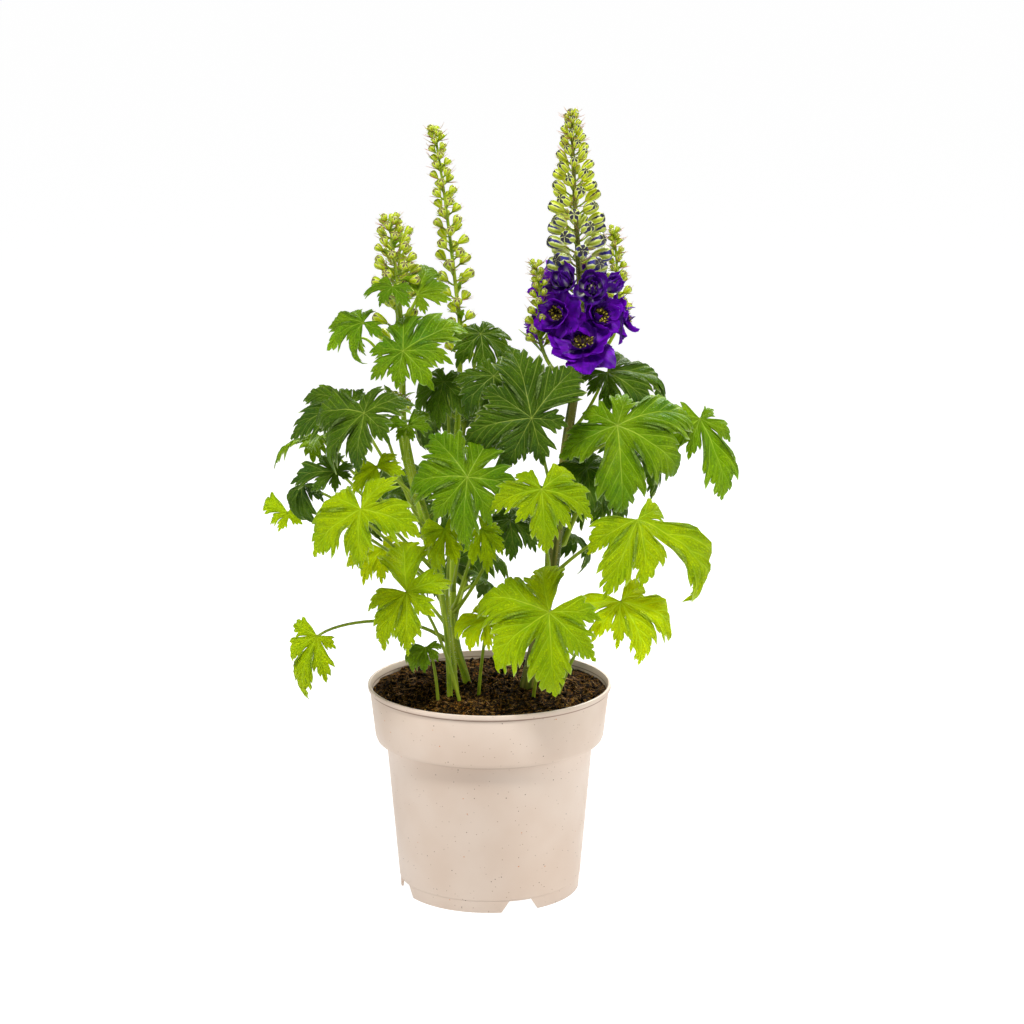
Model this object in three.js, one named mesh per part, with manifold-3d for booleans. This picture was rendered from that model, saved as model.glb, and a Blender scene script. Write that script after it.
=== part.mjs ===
import * as THREE from 'three';
import { mergeVertices } from 'three/addons/utils/BufferGeometryUtils.js';
import Module from 'manifold-3d';

// A delphinium in its nursery pot. Millimetres, +Z up, front towards -Y.
// All places are measured from the foot of the pot's axis; the whole is then moved so that the origin
// lies on the floor under its middle.

const wasm = await Module();
wasm.setup();

// ---- Driving dimensions ------------------------------------------------------------------------

const pot = {
  height: 165,
  rimRadius: 95,
  lipWidth: 2,
  collarHeight: 40,
  collarFootRadius: 89.5,
  shoulderRadius: 81,
  shoulderDrop: 4,
  heelRadius: 71.5,
  footRadius: 70.5,
  footHeight: 10,
  wall: 1.8,
  floor: 2,
  sides: 32,
  notchAngles: [-70, 20, 110, 200],
  notchFootWidth: 31,
  notchTopWidth: 18,
  notchHeight: 9,
  notchDepth: { inside: 14, outside: 4 },
  drainRadius: 5,
  drainCircle: 58,
  drainSides: 8,
  lipHeight: 3.2,
  lipFoot: 4,
  lipInside: 5,
  heelStep: 0.4,
  collarUnder: { inset: 1.2, rise: 0.8 },
  innerStep: 1,
  cutOver: 2,
};

const soil = {
  edge: 158.5,
  crown: 164.5,
  lump: 2.2,
  sectors: 16,
  rings: 4,
  rooting: 12,
  holeTop: 172,
  topClear: 0.1,
  shoulderClear: 0.2,
  collarRise: 1.5,
};

const gap = 0.3;
const stalkGap = 0.5;
const holeGap = 0.4;
const goldenAngle = THREE.MathUtils.degToRad(137.5);
const up = new THREE.Vector3(0, 0, 1);

// Stems: what they pass through from below the soil to the tip, and how thick they are.
const stems = {
  main: {
    points: [[28, -10, 150], [29, -10, 163], [45, -10, 237], [51, -5, 272], [59, 0, 350], [67, 0, 404],
      [71, 0, 431], [68, 0, 495], [65, 0, 541], [62, 0, 610]],
    radii: [6.2, 1.1],
    sides: 6,
    steps: 14,
  },
  sideLeft: {
    points: [[67, -2, 400], [51, -12, 412], [42, -17, 427], [37.5, -20, 447], [38.5, -20, 470],
      [35.5, -20, 497]],
    radii: [1.8, 0.8],
    sides: 5,
    steps: 6,
  },
  sideRight: {
    points: [[70, 3, 405], [84, 14, 420], [98, 23, 442], [98, 24, 487], [95, 24, 517]],
    radii: [1.8, 0.8],
    sides: 5,
    steps: 8,
  },
  middle: {
    points: [[-17, 0, 150], [-18, 0, 166], [-28, 0, 216], [-26, 0, 326], [-23, 5, 393], [-22, 10, 441],
      [-25, 10, 472], [-33, 10, 540], [-41, 10, 595]],
    radii: [3.6, 0.8],
    sides: 6,
    steps: 11,
  },
  left: {
    points: [[-25, -18, 150], [-27, -18, 169], [-36, -17, 235], [-49, -18, 286], [-63, -20, 354],
      [-65, -20, 430], [-67, -20, 468], [-71, -20, 503], [-74, -20, 530]],
    radii: [3.4, 0.9],
    sides: 6,
    steps: 9,
  },
  backLeft: {
    points: [[-29, 14, 150], [-30, 16, 200], [-42, 18, 265], [-60, 18, 335], [-67, 15, 386], [-70, 15, 454],
      [-67, 15, 516]],
    radii: [3.6, 0.9],
    sides: 6,
    steps: 8,
  },
  young: {
    points: [[-30, -36, 150], [-31, -37, 190], [-36, -38, 245], [-52, -41, 310], [-64, -45, 354],
      [-70, -54, 402]],
    radii: [2.4, 1.3],
    sides: 6,
    steps: 6,
  },
};

// Spikes of buds: between which heights, how many, how long, how thick and how far out they stand. Each
// pair is the lowest bud's value and the highest one's; a taper above 1 puts most of the change at the top.
const spikes = {
  main: { stem: 'main', from: 482, to: 606, count: 46, length: [16, 5], width: [6.2, 2.1],
    stalk: [9.5, 1.5], taper: 1.7, rise: [10, 55], turn: 0.6, sides: 4, profile: [[0.45, 1], [0.9, 0.8]] },
  sideLeft: { stem: 'sideLeft', from: 432, to: 496, count: 11, length: [9, 5], width: [3.6, 2.2],
    stalk: [6, 1.5], rise: [25, 60], turn: 0.9, sides: 4, profile: [[0.62, 1]] },
  sideRight: { stem: 'sideRight', from: 446, to: 516, count: 12, length: [9, 5], width: [3.6, 2.2],
    stalk: [6, 1.5], rise: [25, 60], turn: 1.9, sides: 4, profile: [[0.62, 1]] },
  middleLow: { stem: 'middle', from: 416, to: 466, count: 6, length: [9, 9], width: [4.2, 4.2],
    stalk: [8, 8], rise: [50, 50], turn: 0.4, sides: 4, profile: [[0.62, 1]] },
  middleHigh: { stem: 'middle', from: 472, to: 592, count: 25, length: [11, 6], width: [4.6, 2.8],
    stalk: [9, 3], rise: [35, 60], turn: 1.1, sides: 4, profile: [[0.62, 1]] },
  left: { stem: 'left', from: 466, to: 528, count: 20, length: [10, 6.5], width: [4.2, 3],
    stalk: [11, 3], taper: 1.7, rise: [20, 60], turn: 0.0, sides: 4, profile: [[0.62, 1]] },
  backLeft: { stem: 'backLeft', from: 426, to: 512, count: 12, length: [14, 9], width: [5.2, 3.6],
    stalk: [9, 3], rise: [25, 60], turn: 2.4, sides: 4, profile: [[0.62, 1]] },
  young: { stem: 'young', from: 386, to: 400, count: 10, length: [6, 5], width: [3, 2.4],
    stalk: [9, 2], rise: [20, 70], turn: 0.9, sides: 4, profile: [[0.62, 1]] },
};
const bud = { stalk: 0.75, climb: 0.6, shortStalk: 5.2, shortSides: 3 };

// Narrow leaflets that stand round a stem, given like the buds.
const leaflets = {
  sideLeft: { stem: 'sideLeft', from: 424, to: 438, count: 2, length: [30, 20],
    width: 8, rise: [50, 55], turn: 3.2 },
  young: { stem: 'young', from: 380, to: 398, count: 7, length: [24, 16],
    width: 7, rise: [0, 45], turn: 0.5 },
  left: { stem: 'left', from: 466, to: 508, count: 5, length: [19, 12],
    width: 4.5, rise: [20, 60], turn: 2.2 },
  middle: { stem: 'middle', from: 404, to: 468, count: 4, length: [22, 14],
    width: 5, rise: [35, 60], turn: 0.2 },
  backLeft: { stem: 'backLeft', from: 424, to: 470, count: 3, length: [18, 14],
    width: 4.5, rise: [20, 50], turn: 4 },
};
const leaflet = { half: 0.5, widest: 0.55, ribWidest: 0.5, fold: 0.8, sag: 2 };

// One half of a lobe, from the widest tooth to the tip: along the rib, and as a share of its half width.
const lobeTeeth = [[0.7, 1], [0.62, 0.58], [0.84, 0.56], [0.8, 0.3]];
const lobeRib = [0.45, 0.78];
const lobe = {
  widest: 25,
  mostHalf: 28,
  share: 0.44,
  sinus: 0.31,
  openSide: 1.2,
  wideGap: 82,
  fold: 0.16,
  plainBelow: 44,
};
const blade = { half: 0.5, sag: 0.8, hubNotch: 3, maxBend: 1.9, ripple: 0.05 };
const stalk = {
  foot: 1.8,
  top: 1.2,
  sides: 3,
  steps: 4,
  collar: 1.4,
  climb: 0.9,
  soilLean: 0.35,
  leaveShare: 0.4,
  arriveShare: 0.3,
  arrive: { normal: 0.8, down: 0.5 },
};

// Each leaf: where its blade joins its stalk, which way it faces (azimuth from the front to the right,
// height above the horizon), how far it droops, its lobes (angle from straight down to the right, length)
// and what its stalk grows from (a stem at a height, or a place in the soil).
const leaves = {
  leaf_front_low: { hub: [45, -105, 248], face: [-10, 30], droop: 0.4, soil: [33, -30],
    tone: 'bright', lobes: [[-165, 52], [-112, 70], [-57, 68], [8, 69], [52, 52], [98, 42]] },
  leaf_front_middle: { hub: [-15, -105, 350], face: [-5, 30], droop: 0.4, stem: 'middle', z: 240,
    lobes: [[-145, 54], [-95, 58], [-42, 44], [-3, 58], [35, 42], [88, 42], [158, 44]] },
  leaf_left_bright: { hub: [-93, -110, 327], face: [-30, 40], droop: 0.4, stem: 'young', z: 300,
    tone: 'bright', lobes: [[-110, 54], [-54, 56], [14, 47], [91, 51], [165, 40]] },
  leaf_left_upper: { hub: [-91, -85, 394], face: [-30, 40], droop: 0.4, stem: 'left', z: 300,
    tone: 'dark', lobes: [[-174, 33], [-98, 58], [-40, 58], [12, 46], [62, 32], [126, 40]] },
  leaf_centre_dark: { hub: [32, -90, 391], face: [0, 15], droop: 0.4, stem: 'main', z: 300,
    tone: 'dark', lobes: [[-169, 68], [-128, 50], [-86, 58], [-29, 45], [16, 38], [87, 30], [145, 60]] },
  leaf_right_tall: { hub: [96, -60, 380], face: [0, 35], droop: 0.6, stem: 'main', z: 322,
    tone: 'dark', lobes: [[-125, 34], [-72, 54], [5, 76], [68, 72], [118, 78], [165, 36]] },
  leaf_right_big: { hub: [111, -77, 312], face: [20, 50], droop: 0.75, stem: 'main', z: 254,
    tone: 'bright', lobes: [[-74, 48], [-36, 72], [-3, 56], [63, 107], [118, 34]] },
  leaf_right_low: { hub: [99, -80, 250], face: [15, 45], droop: 0.5, soil: [50, -26],
    tone: 'bright', lobes: [[-95, 40], [-50, 40], [-14, 38], [20, 54], [76, 62], [130, 36]] },
  leaf_centre_bright: { hub: [39, -120, 344], face: [5, 35], droop: 0.5, stem: 'main', z: 250,
    tone: 'bright', lobes: [[-136, 28], [-86, 44], [-42, 32], [2, 52], [42, 40], [80, 50], [130, 38]] },
  leaf_left_top: { hub: [-63, -60, 436], face: [-20, 35], droop: 0.4, stem: 'left', z: 408,
    lobes: [[-167, 47], [-100, 34], [-53, 36], [0, 30], [54, 38], [98, 40], [132, 58]] },
  leaf_left_back_up: { hub: [-104, -20, 389], face: [0, 40], droop: 0.3, stem: 'backLeft', z: 300,
    tone: 'dark', lobes: [[-153, 20], [-118, 48], [-72, 55], [-15, 25], [60, 20], [150, 18]] },
  leaf_left_dark: { hub: [-116, -40, 341], face: [-10, 40], droop: 0.3, stem: 'left', z: 262,
    tone: 'dark', lobes: [[-172, 22], [-138, 24], [-90, 42], [-45, 24], [5, 16], [75, 15], [120, 18]] },
  leaf_left_droop: { hub: [-143, -10, 324], face: [-60, 50], droop: 1.1, stem: 'backLeft', z: 235,
    tone: 'dark', lobes: [[-100, 26], [-42, 30], [0, 38], [48, 42], [105, 26]] },
  leaf_lower_left: { hub: [-61, -84, 258], face: [-15, 40], droop: 0.4, soil: [-20, -44],
    tone: 'bright', lobes: [[-165, 62], [-74, 36], [-28, 50], [10, 50], [55, 30], [122, 38]] },
  leaf_far_right: { hub: [161, -10, 376], face: [15, 32], droop: 0.6, stem: 'main', z: 335,
    tone: 'dark', lobes: [[-115, 26], [-60, 48], [-28, 34], [21, 74], [62, 34], [125, 18]] },
  leaf_right_top: { hub: [90, -12, 412], face: [10, 50], droop: 0.6, stem: 'main', z: 365,
    tone: 'dark', lobes: [[-90, 24], [-45, 26], [-5, 36], [55, 50], [102, 74], [140, 40]] },
  leaf_left_inner: { hub: [-83, -70, 351], face: [-25, 45], droop: 0.4, stem: 'young', z: 322,
    tone: 'bright', lobes: [[-89, 26], [-44, 31], [10, 27], [96, 24], [150, 20]] },
  leaf_far_left: { hub: [-130, -60, 218], face: [-20, 25], droop: 0.5, stem: 'left', z: 203,
    tone: 'bright', lobes: [[-112, 27], [-62, 35], [-19, 58], [18, 38], [70, 18]] },
  leaf_left_tip: { hub: [-158, 30, 294], face: [-20, 30], droop: 0.3, stem: 'left', z: 240,
    tone: 'bright', lobes: [[-108, 34], [-66, 20], [-15, 17], [60, 16], [130, 18]] },
  leaf_left_pale: { hub: [-131, 20, 357], face: [-50, 80], droop: 0.3, stem: 'backLeft', z: 270,
    lobes: [[-74, 26], [-26, 46], [36, 34], [95, 22], [160, 20]] },
  leaf_low_pale: { hub: [-1, -60, 232], face: [0, 45], droop: 0.7, soil: [-9, -27],
    tone: 'bright', lobes: [[-150, 22], [-90, 37], [-45, 34], [0, 27], [42, 24], [100, 24]] },
  leaf_low_old: { hub: [-48, -60, 209], face: [-20, 50], droop: 0.8, soil: [-38, -46],
    lobes: [[-90, 30], [-35, 26], [10, 22], [60, 16], [120, 15]] },
  leaf_under_left: { hub: [-33, -60, 301], face: [-10, 35], droop: 0.6, stem: 'left', z: 215,
    tone: 'bright', lobes: [[-99, 26], [-52, 24], [-12, 40], [28, 31], [80, 20], [140, 18]] },
  leaf_under_right: { hub: [-5, -72, 303], face: [5, 35], droop: 0.6, stem: 'middle', z: 225,
    tone: 'bright', lobes: [[-75, 22], [-25, 30], [12, 37], [52, 28], [100, 20], [165, 17]] },
  leaf_back_light: { hub: [-84, 40, 262], face: [-20, 45], droop: 0.6, stem: 'backLeft', z: 205,
    tone: 'bright', lobes: [[-85, 44], [-38, 36], [8, 30], [50, 30], [110, 24], [170, 22]] },
};

// Fan of a leaf that no one lobe marks out: the angles, and the lengths as shares of its size.
const fanAngles = [-142, -98, -50, 0, 50, 98, 142];
const fanShares = [0.55, 0.8, 0.94, 1, 0.94, 0.8, 0.55];

// Plain leaves inside the plant and at its back: place, facing, size, stalk.
const fanLeaves = {
  leaf_inner_left: { hub: [-34, -25, 407], face: [-15, 50], droop: 0.5, size: 40, stem: 'middle', z: 330 },
  leaf_inner_middle: { hub: [4, -52, 416], face: [0, 45], droop: 0.5, size: 44, stem: 'middle', z: 345 },
  leaf_inner_top: { hub: [-6, -14, 442], face: [10, 50], droop: 0.5, size: 38, stem: 'middle', z: 385 },
  leaf_inner_low: { hub: [16, -50, 306], face: [10, 50], droop: 0.6, size: 36, stem: 'middle', z: 222 },
  leaf_inner_right: { hub: [74, -45, 345], face: [10, 50], droop: 0.5, size: 42, stem: 'main', z: 290 },
};

// Small leaves that grow in one piece with a stem.
const stemLeaves = {
  left: [
    { hub: [-71, -45, 482], face: [-10, 45], droop: 0.4, stem: 'left', z: 456, fused: true,
      lobes: [[-125, 18], [-99, 29], [-35, 19], [46, 22], [93, 17]] },
    { hub: [-53, -30, 474], face: [0, 45], droop: 0.4, stem: 'left', z: 452, fused: true,
      lobes: [[-173, 31], [20, 17], [90, 27], [124, 32], [167, 48]] },
    { hub: [-94, -30, 453], face: [-30, 45], droop: 0.4, stem: 'left', z: 430, fused: true,
      lobes: [[-171, 18], [-131, 27], [-100, 46], [-65, 40], [-9, 26], [74, 20]] },
  ],
  backLeft: [
    { hub: [-99, 10, 436], face: [-60, 40], droop: 0.8, stem: 'backLeft', z: 402, fused: true,
      lobes: [[-25, 20], [8, 28], [45, 18]] },
  ],
  young: [
    { hub: [-60, -60, 380], face: [0, 45], droop: 0.4, stem: 'young', z: 352, fused: true,
      lobes: [[-109, 20], [-43, 15], [20, 14], [95, 20], [139, 27]] },
  ],
};

// Side shoots at the back: the stem and height they leave at, the way they head (from the front to the
// right), how far out and up they go, and the size of their end leaf.
const backShoots = {
  shoot_right: { stem: 'main', z: 276, azimuth: 122, reach: 42, rise: 52, size: 46 },
  shoot_back_right: { stem: 'main', z: 234, azimuth: 178, reach: 52, rise: 52, size: 48 },
  shoot_back_middle: { stem: 'middle', z: 312, azimuth: 170, reach: 50, rise: 60, size: 52 },
  shoot_back_left: { stem: 'backLeft', z: 256, azimuth: 206, reach: 48, rise: 42, size: 50 },
  shoot_back_low: { stem: 'middle', z: 216, azimuth: 167, reach: 50, rise: 24, size: 41 },
};
// The leaves of such a shoot: where along it, how far they turn off, and their size as a share.
const shootLeaves = [[0.5, -62, 0.8], [0.72, 58, 0.88], [1, 0, 1]];
const shoot = {
  radii: [2.4, 1.3],
  sides: 4,
  steps: 3,
  bend: { out: 0.35, rise: 0.7 },
  leafReach: 0.55,
  leafRise: 0.3,
  height: 48,
  droop: 0.6,
};
const shootAngles = [-125, -62, 0, 62, 125];
const shootShares = [0.75, 0.95, 1, 0.95, 0.75];

// Flowers round the main stem: middle, facing, radius, how far closed, the eye's radius, and the height
// at which the stalk leaves the stem.
const flowers = {
  flower_front: { hub: [71, -40, 435], face: [-5, 60], radius: 26, cup: 6, eye: 8.5, from: 428 },
  flower_left: { hub: [54, -28, 459], face: [-35, 14], radius: 15, cup: 22, eye: 6, from: 446 },
  flower_right: { hub: [82, -25, 456], face: [28, 18], radius: 16, cup: 24, eye: 6, from: 444 },
  flower_upper: { hub: [77, -24, 476], face: [4, 25], radius: 12, cup: 46, from: 462 },
  flower_half_left: { hub: [59, -19, 480], face: [-25, 38], radius: 11.5, cup: 62, from: 468 },
  flower_half_right: { hub: [90, -10, 476], face: [45, 35], radius: 9.5, cup: 68, whorls: 1, from: 468 },
  flower_side_left: { hub: [40, 11, 448], face: [-95, 12], radius: 18, cup: 10, eye: 7, from: 436 },
  flower_side_right: { hub: [99, -1, 452], face: [100, 12], radius: 18, cup: 10, eye: 7, from: 438 },
  flower_back_low: { hub: [66, 34, 446], face: [178, 20], radius: 21, cup: 8, eye: 7.5, from: 434 },
  flower_back_left: { hub: [50, 22, 474], face: [-145, 15], radius: 15, cup: 25, eye: 3.6, from: 462 },
  flower_back_right: { hub: [77, 24, 480], face: [165, 25], radius: 12, cup: 52, whorls: 1, from: 466 },
};
const petal = {
  half: 0.4,
  sinus: 0.3,
  rib: 0.55,
  wide: [0.74, 0.47],
  shoulder: [0.95, 0.24],
  tip: [0.97, 0],
  core: { depth: 5, radius: 2.2, shoulder: 1.2, sides: 4 },
  neck: { height: 0.7, radius: 1.5 },
  spur: { length: 12, radius: 1.5, sides: 3, climb: 1, profile: [[0.15, 1], [0.7, 0.7]] },
  stalk: { gap: 0.6, bend: 4, radii: [1.2, 1], steps: 2, sides: 3 },
  layers: [
    { count: 5, turn: 0, length: 1, cup: 0, lift: 0 },
    { count: 5, turn: Math.PI / 5, length: 0.64, cup: 18, lift: 1.2 },
  ],
};
const eye = { foot: 3, neck: 1.8, rise: 6.4, arms: 5, valley: 0.5, footBulge: 0.2, topDip: 1 };

// ---- Solids ------------------------------------------------------------------------------------

function vector(list) {
  return new THREE.Vector3(...list);
}

function radians(degrees) {
  return THREE.MathUtils.degToRad(degrees);
}

function solidOf(geometry) {
  const bare = geometry.clone();
  bare.deleteAttribute('normal');
  bare.deleteAttribute('uv');
  const merged = mergeVertices(bare, 1e-4);
  return new wasm.Manifold(new wasm.Mesh({
    numProp: 3,
    vertProperties: merged.attributes.position.array,
    triVerts: new Uint32Array(merged.index.array),
  }));
}

function geometryOf(solid) {
  const mesh = solid.getMesh();
  const geometry = new THREE.BufferGeometry();
  geometry.setAttribute('position', new THREE.Float32BufferAttribute(mesh.vertProperties, 3));
  geometry.setIndex(Array.from(mesh.triVerts));
  return geometry;
}

// Joins a list of closed geometries that grow out of each other.
function fuse(geometries) {
  let solids = geometries.map(solidOf);
  while (solids.length > 1) {
    const joined = [];
    for (let i = 0; i < solids.length; i += 2) {
      joined.push(i + 1 < solids.length ? solids[i].add(solids[i + 1]) : solids[i]);
    }
    solids = joined;
  }
  return largest(solids[0]);
}

// The main body of a solid, without the loose scraps that a cut can leave.
function largest(solid) {
  return solid.decompose().sort((a, b) => b.volume() - a.volume())[0];
}

function fromTriangles(triangles) {
  const geometry = new THREE.BufferGeometry();
  const positions = triangles.flat().flatMap((point) => point.toArray());
  geometry.setAttribute('position', new THREE.Float32BufferAttribute(positions, 3));
  return geometry;
}

// The walls between a stack of rings that all have the same number of points.
function walls(rings) {
  const triangles = [];
  for (let k = 0; k + 1 < rings.length; k += 1) {
    rings[k].forEach((corner, i) => {
      const j = (i + 1) % rings[k].length;
      triangles.push([corner, rings[k][j], rings[k + 1][j]]);
      triangles.push([corner, rings[k + 1][j], rings[k + 1][i]]);
    });
  }
  return triangles;
}

// A fan that closes the last ring of a stack; turned round, it closes the first one.
function cap(corners, tip, first = false) {
  return corners.map((corner, i) => {
    const next = corners[(i + 1) % corners.length];
    return first ? [tip, next, corner] : [corner, next, tip];
  });
}

function loft(rings, firstTip, lastTip) {
  return fromTriangles([
    ...cap(rings[0], firstTip, true), ...walls(rings), ...cap(rings[rings.length - 1], lastTip)]);
}

// Two directions across an axis, the first one level.
function across(axis) {
  const level = Math.abs(axis.z) > 0.999 ? new THREE.Vector3(1, 0, 0) : up;
  const side = new THREE.Vector3().crossVectors(level, axis).normalize();
  return [side, new THREE.Vector3().crossVectors(axis, side).normalize()];
}

function ringOn(centre, [a, b], radius, sides, turn = 0) {
  return Array.from({ length: sides }, (_, i) => {
    const angle = turn + (2 * Math.PI * i) / sides;
    return centre.clone()
      .addScaledVector(a, radius * Math.cos(angle))
      .addScaledVector(b, radius * Math.sin(angle));
  });
}

function ring(centre, axis, radius, sides, turn = 0) {
  return ringOn(centre, across(axis), radius, sides, turn);
}

// The rings of a round stalk along a curve, thinning evenly from foot to top, without any twist.
function ringsAlong(curve, steps, radii, sides) {
  let [side] = across(curve.getTangent(0));
  return Array.from({ length: steps + 1 }, (_, i) => {
    const t = i / steps;
    const axis = curve.getTangent(t);
    side = side.clone().addScaledVector(axis, -side.dot(axis)).normalize();
    const other = new THREE.Vector3().crossVectors(axis, side);
    return ringOn(curve.getPoint(t), [side, other], THREE.MathUtils.lerp(...radii, t), sides);
  });
}

function rod(curve, steps, radii, sides) {
  return loft(ringsAlong(curve, steps, radii, sides), curve.getPoint(0), curve.getPoint(1));
}

// A spindle: rings at shares of its length, each with a share of its radius.
function spindle(foot, axis, length, radius, sides, profile, turn = 0) {
  const at = (share) => foot.clone().addScaledVector(axis, length * share);
  const rings = profile.map(([share, width]) => ring(at(share), axis, radius * width, sides, turn));
  return loft(rings, foot, at(1));
}

// One side of a thin arched blade. Each face is a list of corners, counted round as seen from the front.
// Both sides are split alike: inner corners stand half a thickness off the middle (front 1, back -1), and
// the sides meet along the rim. With a collar, the faces round the hub open onto that ring instead.
function sheet(faces, way, half, collar) {
  const lifted = (corner) => (corner.rim
    ? corner.at
    : corner.at.clone().addScaledVector(corner.normal, way * half));
  const hub = faces[0][0];
  const kept = collar ? faces.filter((face) => !face.includes(hub)) : faces;
  const triangles = kept.map((face) => face.map(lifted));
  if (collar) {
    const round = new Set(faces.filter((face) => face.includes(hub)).flat());
    round.delete(hub);
    triangles.push(...bridge(collar, [...round].map(lifted), hub));
  }
  return way > 0 ? triangles : triangles.map(([p, q, r]) => [p, r, q]);
}

// The strip between two rings of points round a hub, split in the order of their angles.
function bridge(inner, outer, { at, normal }) {
  const [a, b] = across(normal);
  const sorted = (points) => points
    .map((point) => {
      const arm = point.clone().sub(at);
      return { point, angle: Math.atan2(arm.dot(b), arm.dot(a)) };
    })
    .sort((one, other) => one.angle - other.angle);
  const near = sorted(inner);
  const far = sorted(outer);
  const angleOf = (list, i) => list[i % list.length].angle + 2 * Math.PI * Math.floor(i / list.length);
  const pointOf = (list, i) => list[i % list.length].point;
  const triangles = [];
  let [i, j] = [0, 0];
  while (i < near.length || j < far.length) {
    const corners = [pointOf(near, i), pointOf(far, j)];
    const farFirst = angleOf(far, j + 1) < angleOf(near, i + 1);
    if ((farFirst && j < far.length) || i === near.length) {
      j += 1;
      triangles.push([...corners, pointOf(far, j)]);
    } else {
      i += 1;
      triangles.push([...corners, pointOf(near, i)]);
    }
  }
  return triangles;
}

function lens(faces, half) {
  return fromTriangles([...sheet(faces, 1, half), ...sheet(faces, -1, half)]);
}

// ---- Pot and soil ------------------------------------------------------------------------------

function potRadiusAt(z) {
  const collarFoot = pot.height - pot.collarHeight;
  if (z >= collarFoot) {
    const share = (z - collarFoot) / pot.collarHeight;
    return THREE.MathUtils.lerp(pot.collarFootRadius, pot.rimRadius - 1, share);
  }
  const share = (z - pot.footHeight) / (collarFoot - pot.shoulderDrop - pot.footHeight);
  return THREE.MathUtils.lerp(pot.heelRadius, pot.shoulderRadius, share);
}

function polar(radius, degrees, z) {
  return new THREE.Vector3(radius * Math.cos(radians(degrees)), radius * Math.sin(radians(degrees)), z);
}

function potProfile() {
  const collarFoot = pot.height - pot.collarHeight;
  const shoulder = collarFoot - pot.shoulderDrop;
  const inner = (z) => potRadiusAt(z) - pot.wall;
  return [
    [0, pot.footHeight],
    [pot.footRadius - pot.wall, pot.footHeight],
    [pot.footRadius - pot.wall, 0],
    [pot.footRadius, 0],
    [pot.footRadius + pot.heelStep, pot.footHeight - pot.heelStep],
    [pot.heelRadius, pot.footHeight + pot.heelStep],
    [pot.shoulderRadius, shoulder],
    [pot.collarFootRadius - pot.collarUnder.inset, shoulder + pot.collarUnder.rise],
    [pot.collarFootRadius, collarFoot],
    [potRadiusAt(pot.height - pot.lipFoot), pot.height - pot.lipFoot],
    [pot.rimRadius, pot.height - pot.lipHeight],
    [pot.rimRadius, pot.height],
    [pot.rimRadius - pot.lipWidth, pot.height],
    [inner(pot.height - pot.lipInside), pot.height - pot.lipInside],
    [inner(collarFoot + pot.innerStep), collarFoot + pot.innerStep],
    [pot.shoulderRadius - pot.wall, shoulder - pot.innerStep],
    [inner(pot.footHeight + pot.floor), pot.footHeight + pot.floor],
    [0, pot.footHeight + pot.floor],
  ].map(([r, z]) => new THREE.Vector2(r, z));
}

// A four-sided notch through the foot ring, wider at the floor.
function notch(degrees) {
  const faceAt = (radius) => {
    const middle = polar(radius, degrees, 0);
    const side = polar(1, degrees + 90, 0);
    const corner = (width, z) => middle.clone().addScaledVector(side, width / 2).setZ(z);
    return [
      corner(-pot.notchFootWidth, -1),
      corner(pot.notchFootWidth, -1),
      corner(pot.notchTopWidth, pot.notchHeight),
      corner(-pot.notchTopWidth, pot.notchHeight),
    ];
  };
  const { inside, outside } = pot.notchDepth;
  const rings = [faceAt(pot.footRadius - inside), faceAt(pot.footRadius + outside)];
  const middleOf = (points) => points[0].clone().add(points[2]).multiplyScalar(0.5);
  return loft(rings, middleOf(rings[0]), middleOf(rings[1]));
}

function drain(degrees) {
  const foot = polar(pot.drainCircle, degrees, pot.footHeight - pot.cutOver);
  return spindle(foot, up, pot.floor + 2 * pot.cutOver, pot.drainRadius, pot.drainSides, [[0, 1], [1, 1]]);
}

function makePot() {
  const profile = potProfile();
  let solid = solidOf(new THREE.LatheGeometry(profile, pot.sides).rotateX(Math.PI / 2));
  for (const degrees of pot.notchAngles) {
    solid = solid.subtract(solidOf(notch(degrees))).subtract(solidOf(drain(degrees)));
  }
  return solid;
}

function soilHeight(x, y) {
  const share = Math.min(1, Math.hypot(x, y) / pot.rimRadius);
  const mound = THREE.MathUtils.lerp(soil.crown, soil.edge, share * share);
  const lumps = Math.sin(x / 7.1 + 1.3 * Math.sin(y / 11)) * Math.cos(y / 6.3 + 0.8 * Math.sin(x / 9));
  return mound + soil.lump * lumps * (1 - 0.6 * share);
}

// The compost: lumpy on top, and a little clear of the pot all round.
function makeSoil(holes) {
  const shoulder = pot.height - pot.collarHeight - pot.shoulderDrop;
  const ringAt = (radius, height) => Array.from({ length: soil.sectors }, (_, i) => {
    const point = polar(radius, (360 * i) / soil.sectors, 0);
    return point.setZ(height ?? soilHeight(point.x, point.y));
  });
  const clear = pot.wall + gap;
  const bed = pot.footHeight + pot.floor + gap;
  const rings = [
    ringAt(pot.heelRadius - clear, bed),
    ringAt(pot.shoulderRadius - clear - soil.shoulderClear, shoulder - pot.innerStep),
    ringAt(pot.collarFootRadius - clear - soil.shoulderClear, shoulder + pot.shoulderDrop + soil.collarRise),
  ];
  const topRadius = potRadiusAt(soil.edge) - clear - soil.topClear;
  for (let k = 0; k < soil.rings; k += 1) {
    rings.push(ringAt(topRadius * (1 - k / soil.rings)));
  }
  let solid = solidOf(loft(rings, new THREE.Vector3(0, 0, bed), new THREE.Vector3(0, 0, soilHeight(0, 0))));
  for (const hole of holes) solid = solid.subtract(solidOf(hole));
  return largest(solid);
}

// ---- Leaves ------------------------------------------------------------------------------------

// The way a leaf or a flower faces, straight down its slope, and to the right seen from its front.
function facing([azimuth, height]) {
  const [a, e] = [radians(azimuth), radians(height)];
  const normal = new THREE.Vector3(Math.sin(a) * Math.cos(e), -Math.cos(a) * Math.cos(e), Math.sin(e));
  const down = new THREE.Vector3(Math.sin(a) * Math.sin(e), -Math.cos(a) * Math.sin(e), -Math.cos(e));
  return { normal, down, right: new THREE.Vector3().crossVectors(normal, down) };
}

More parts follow.
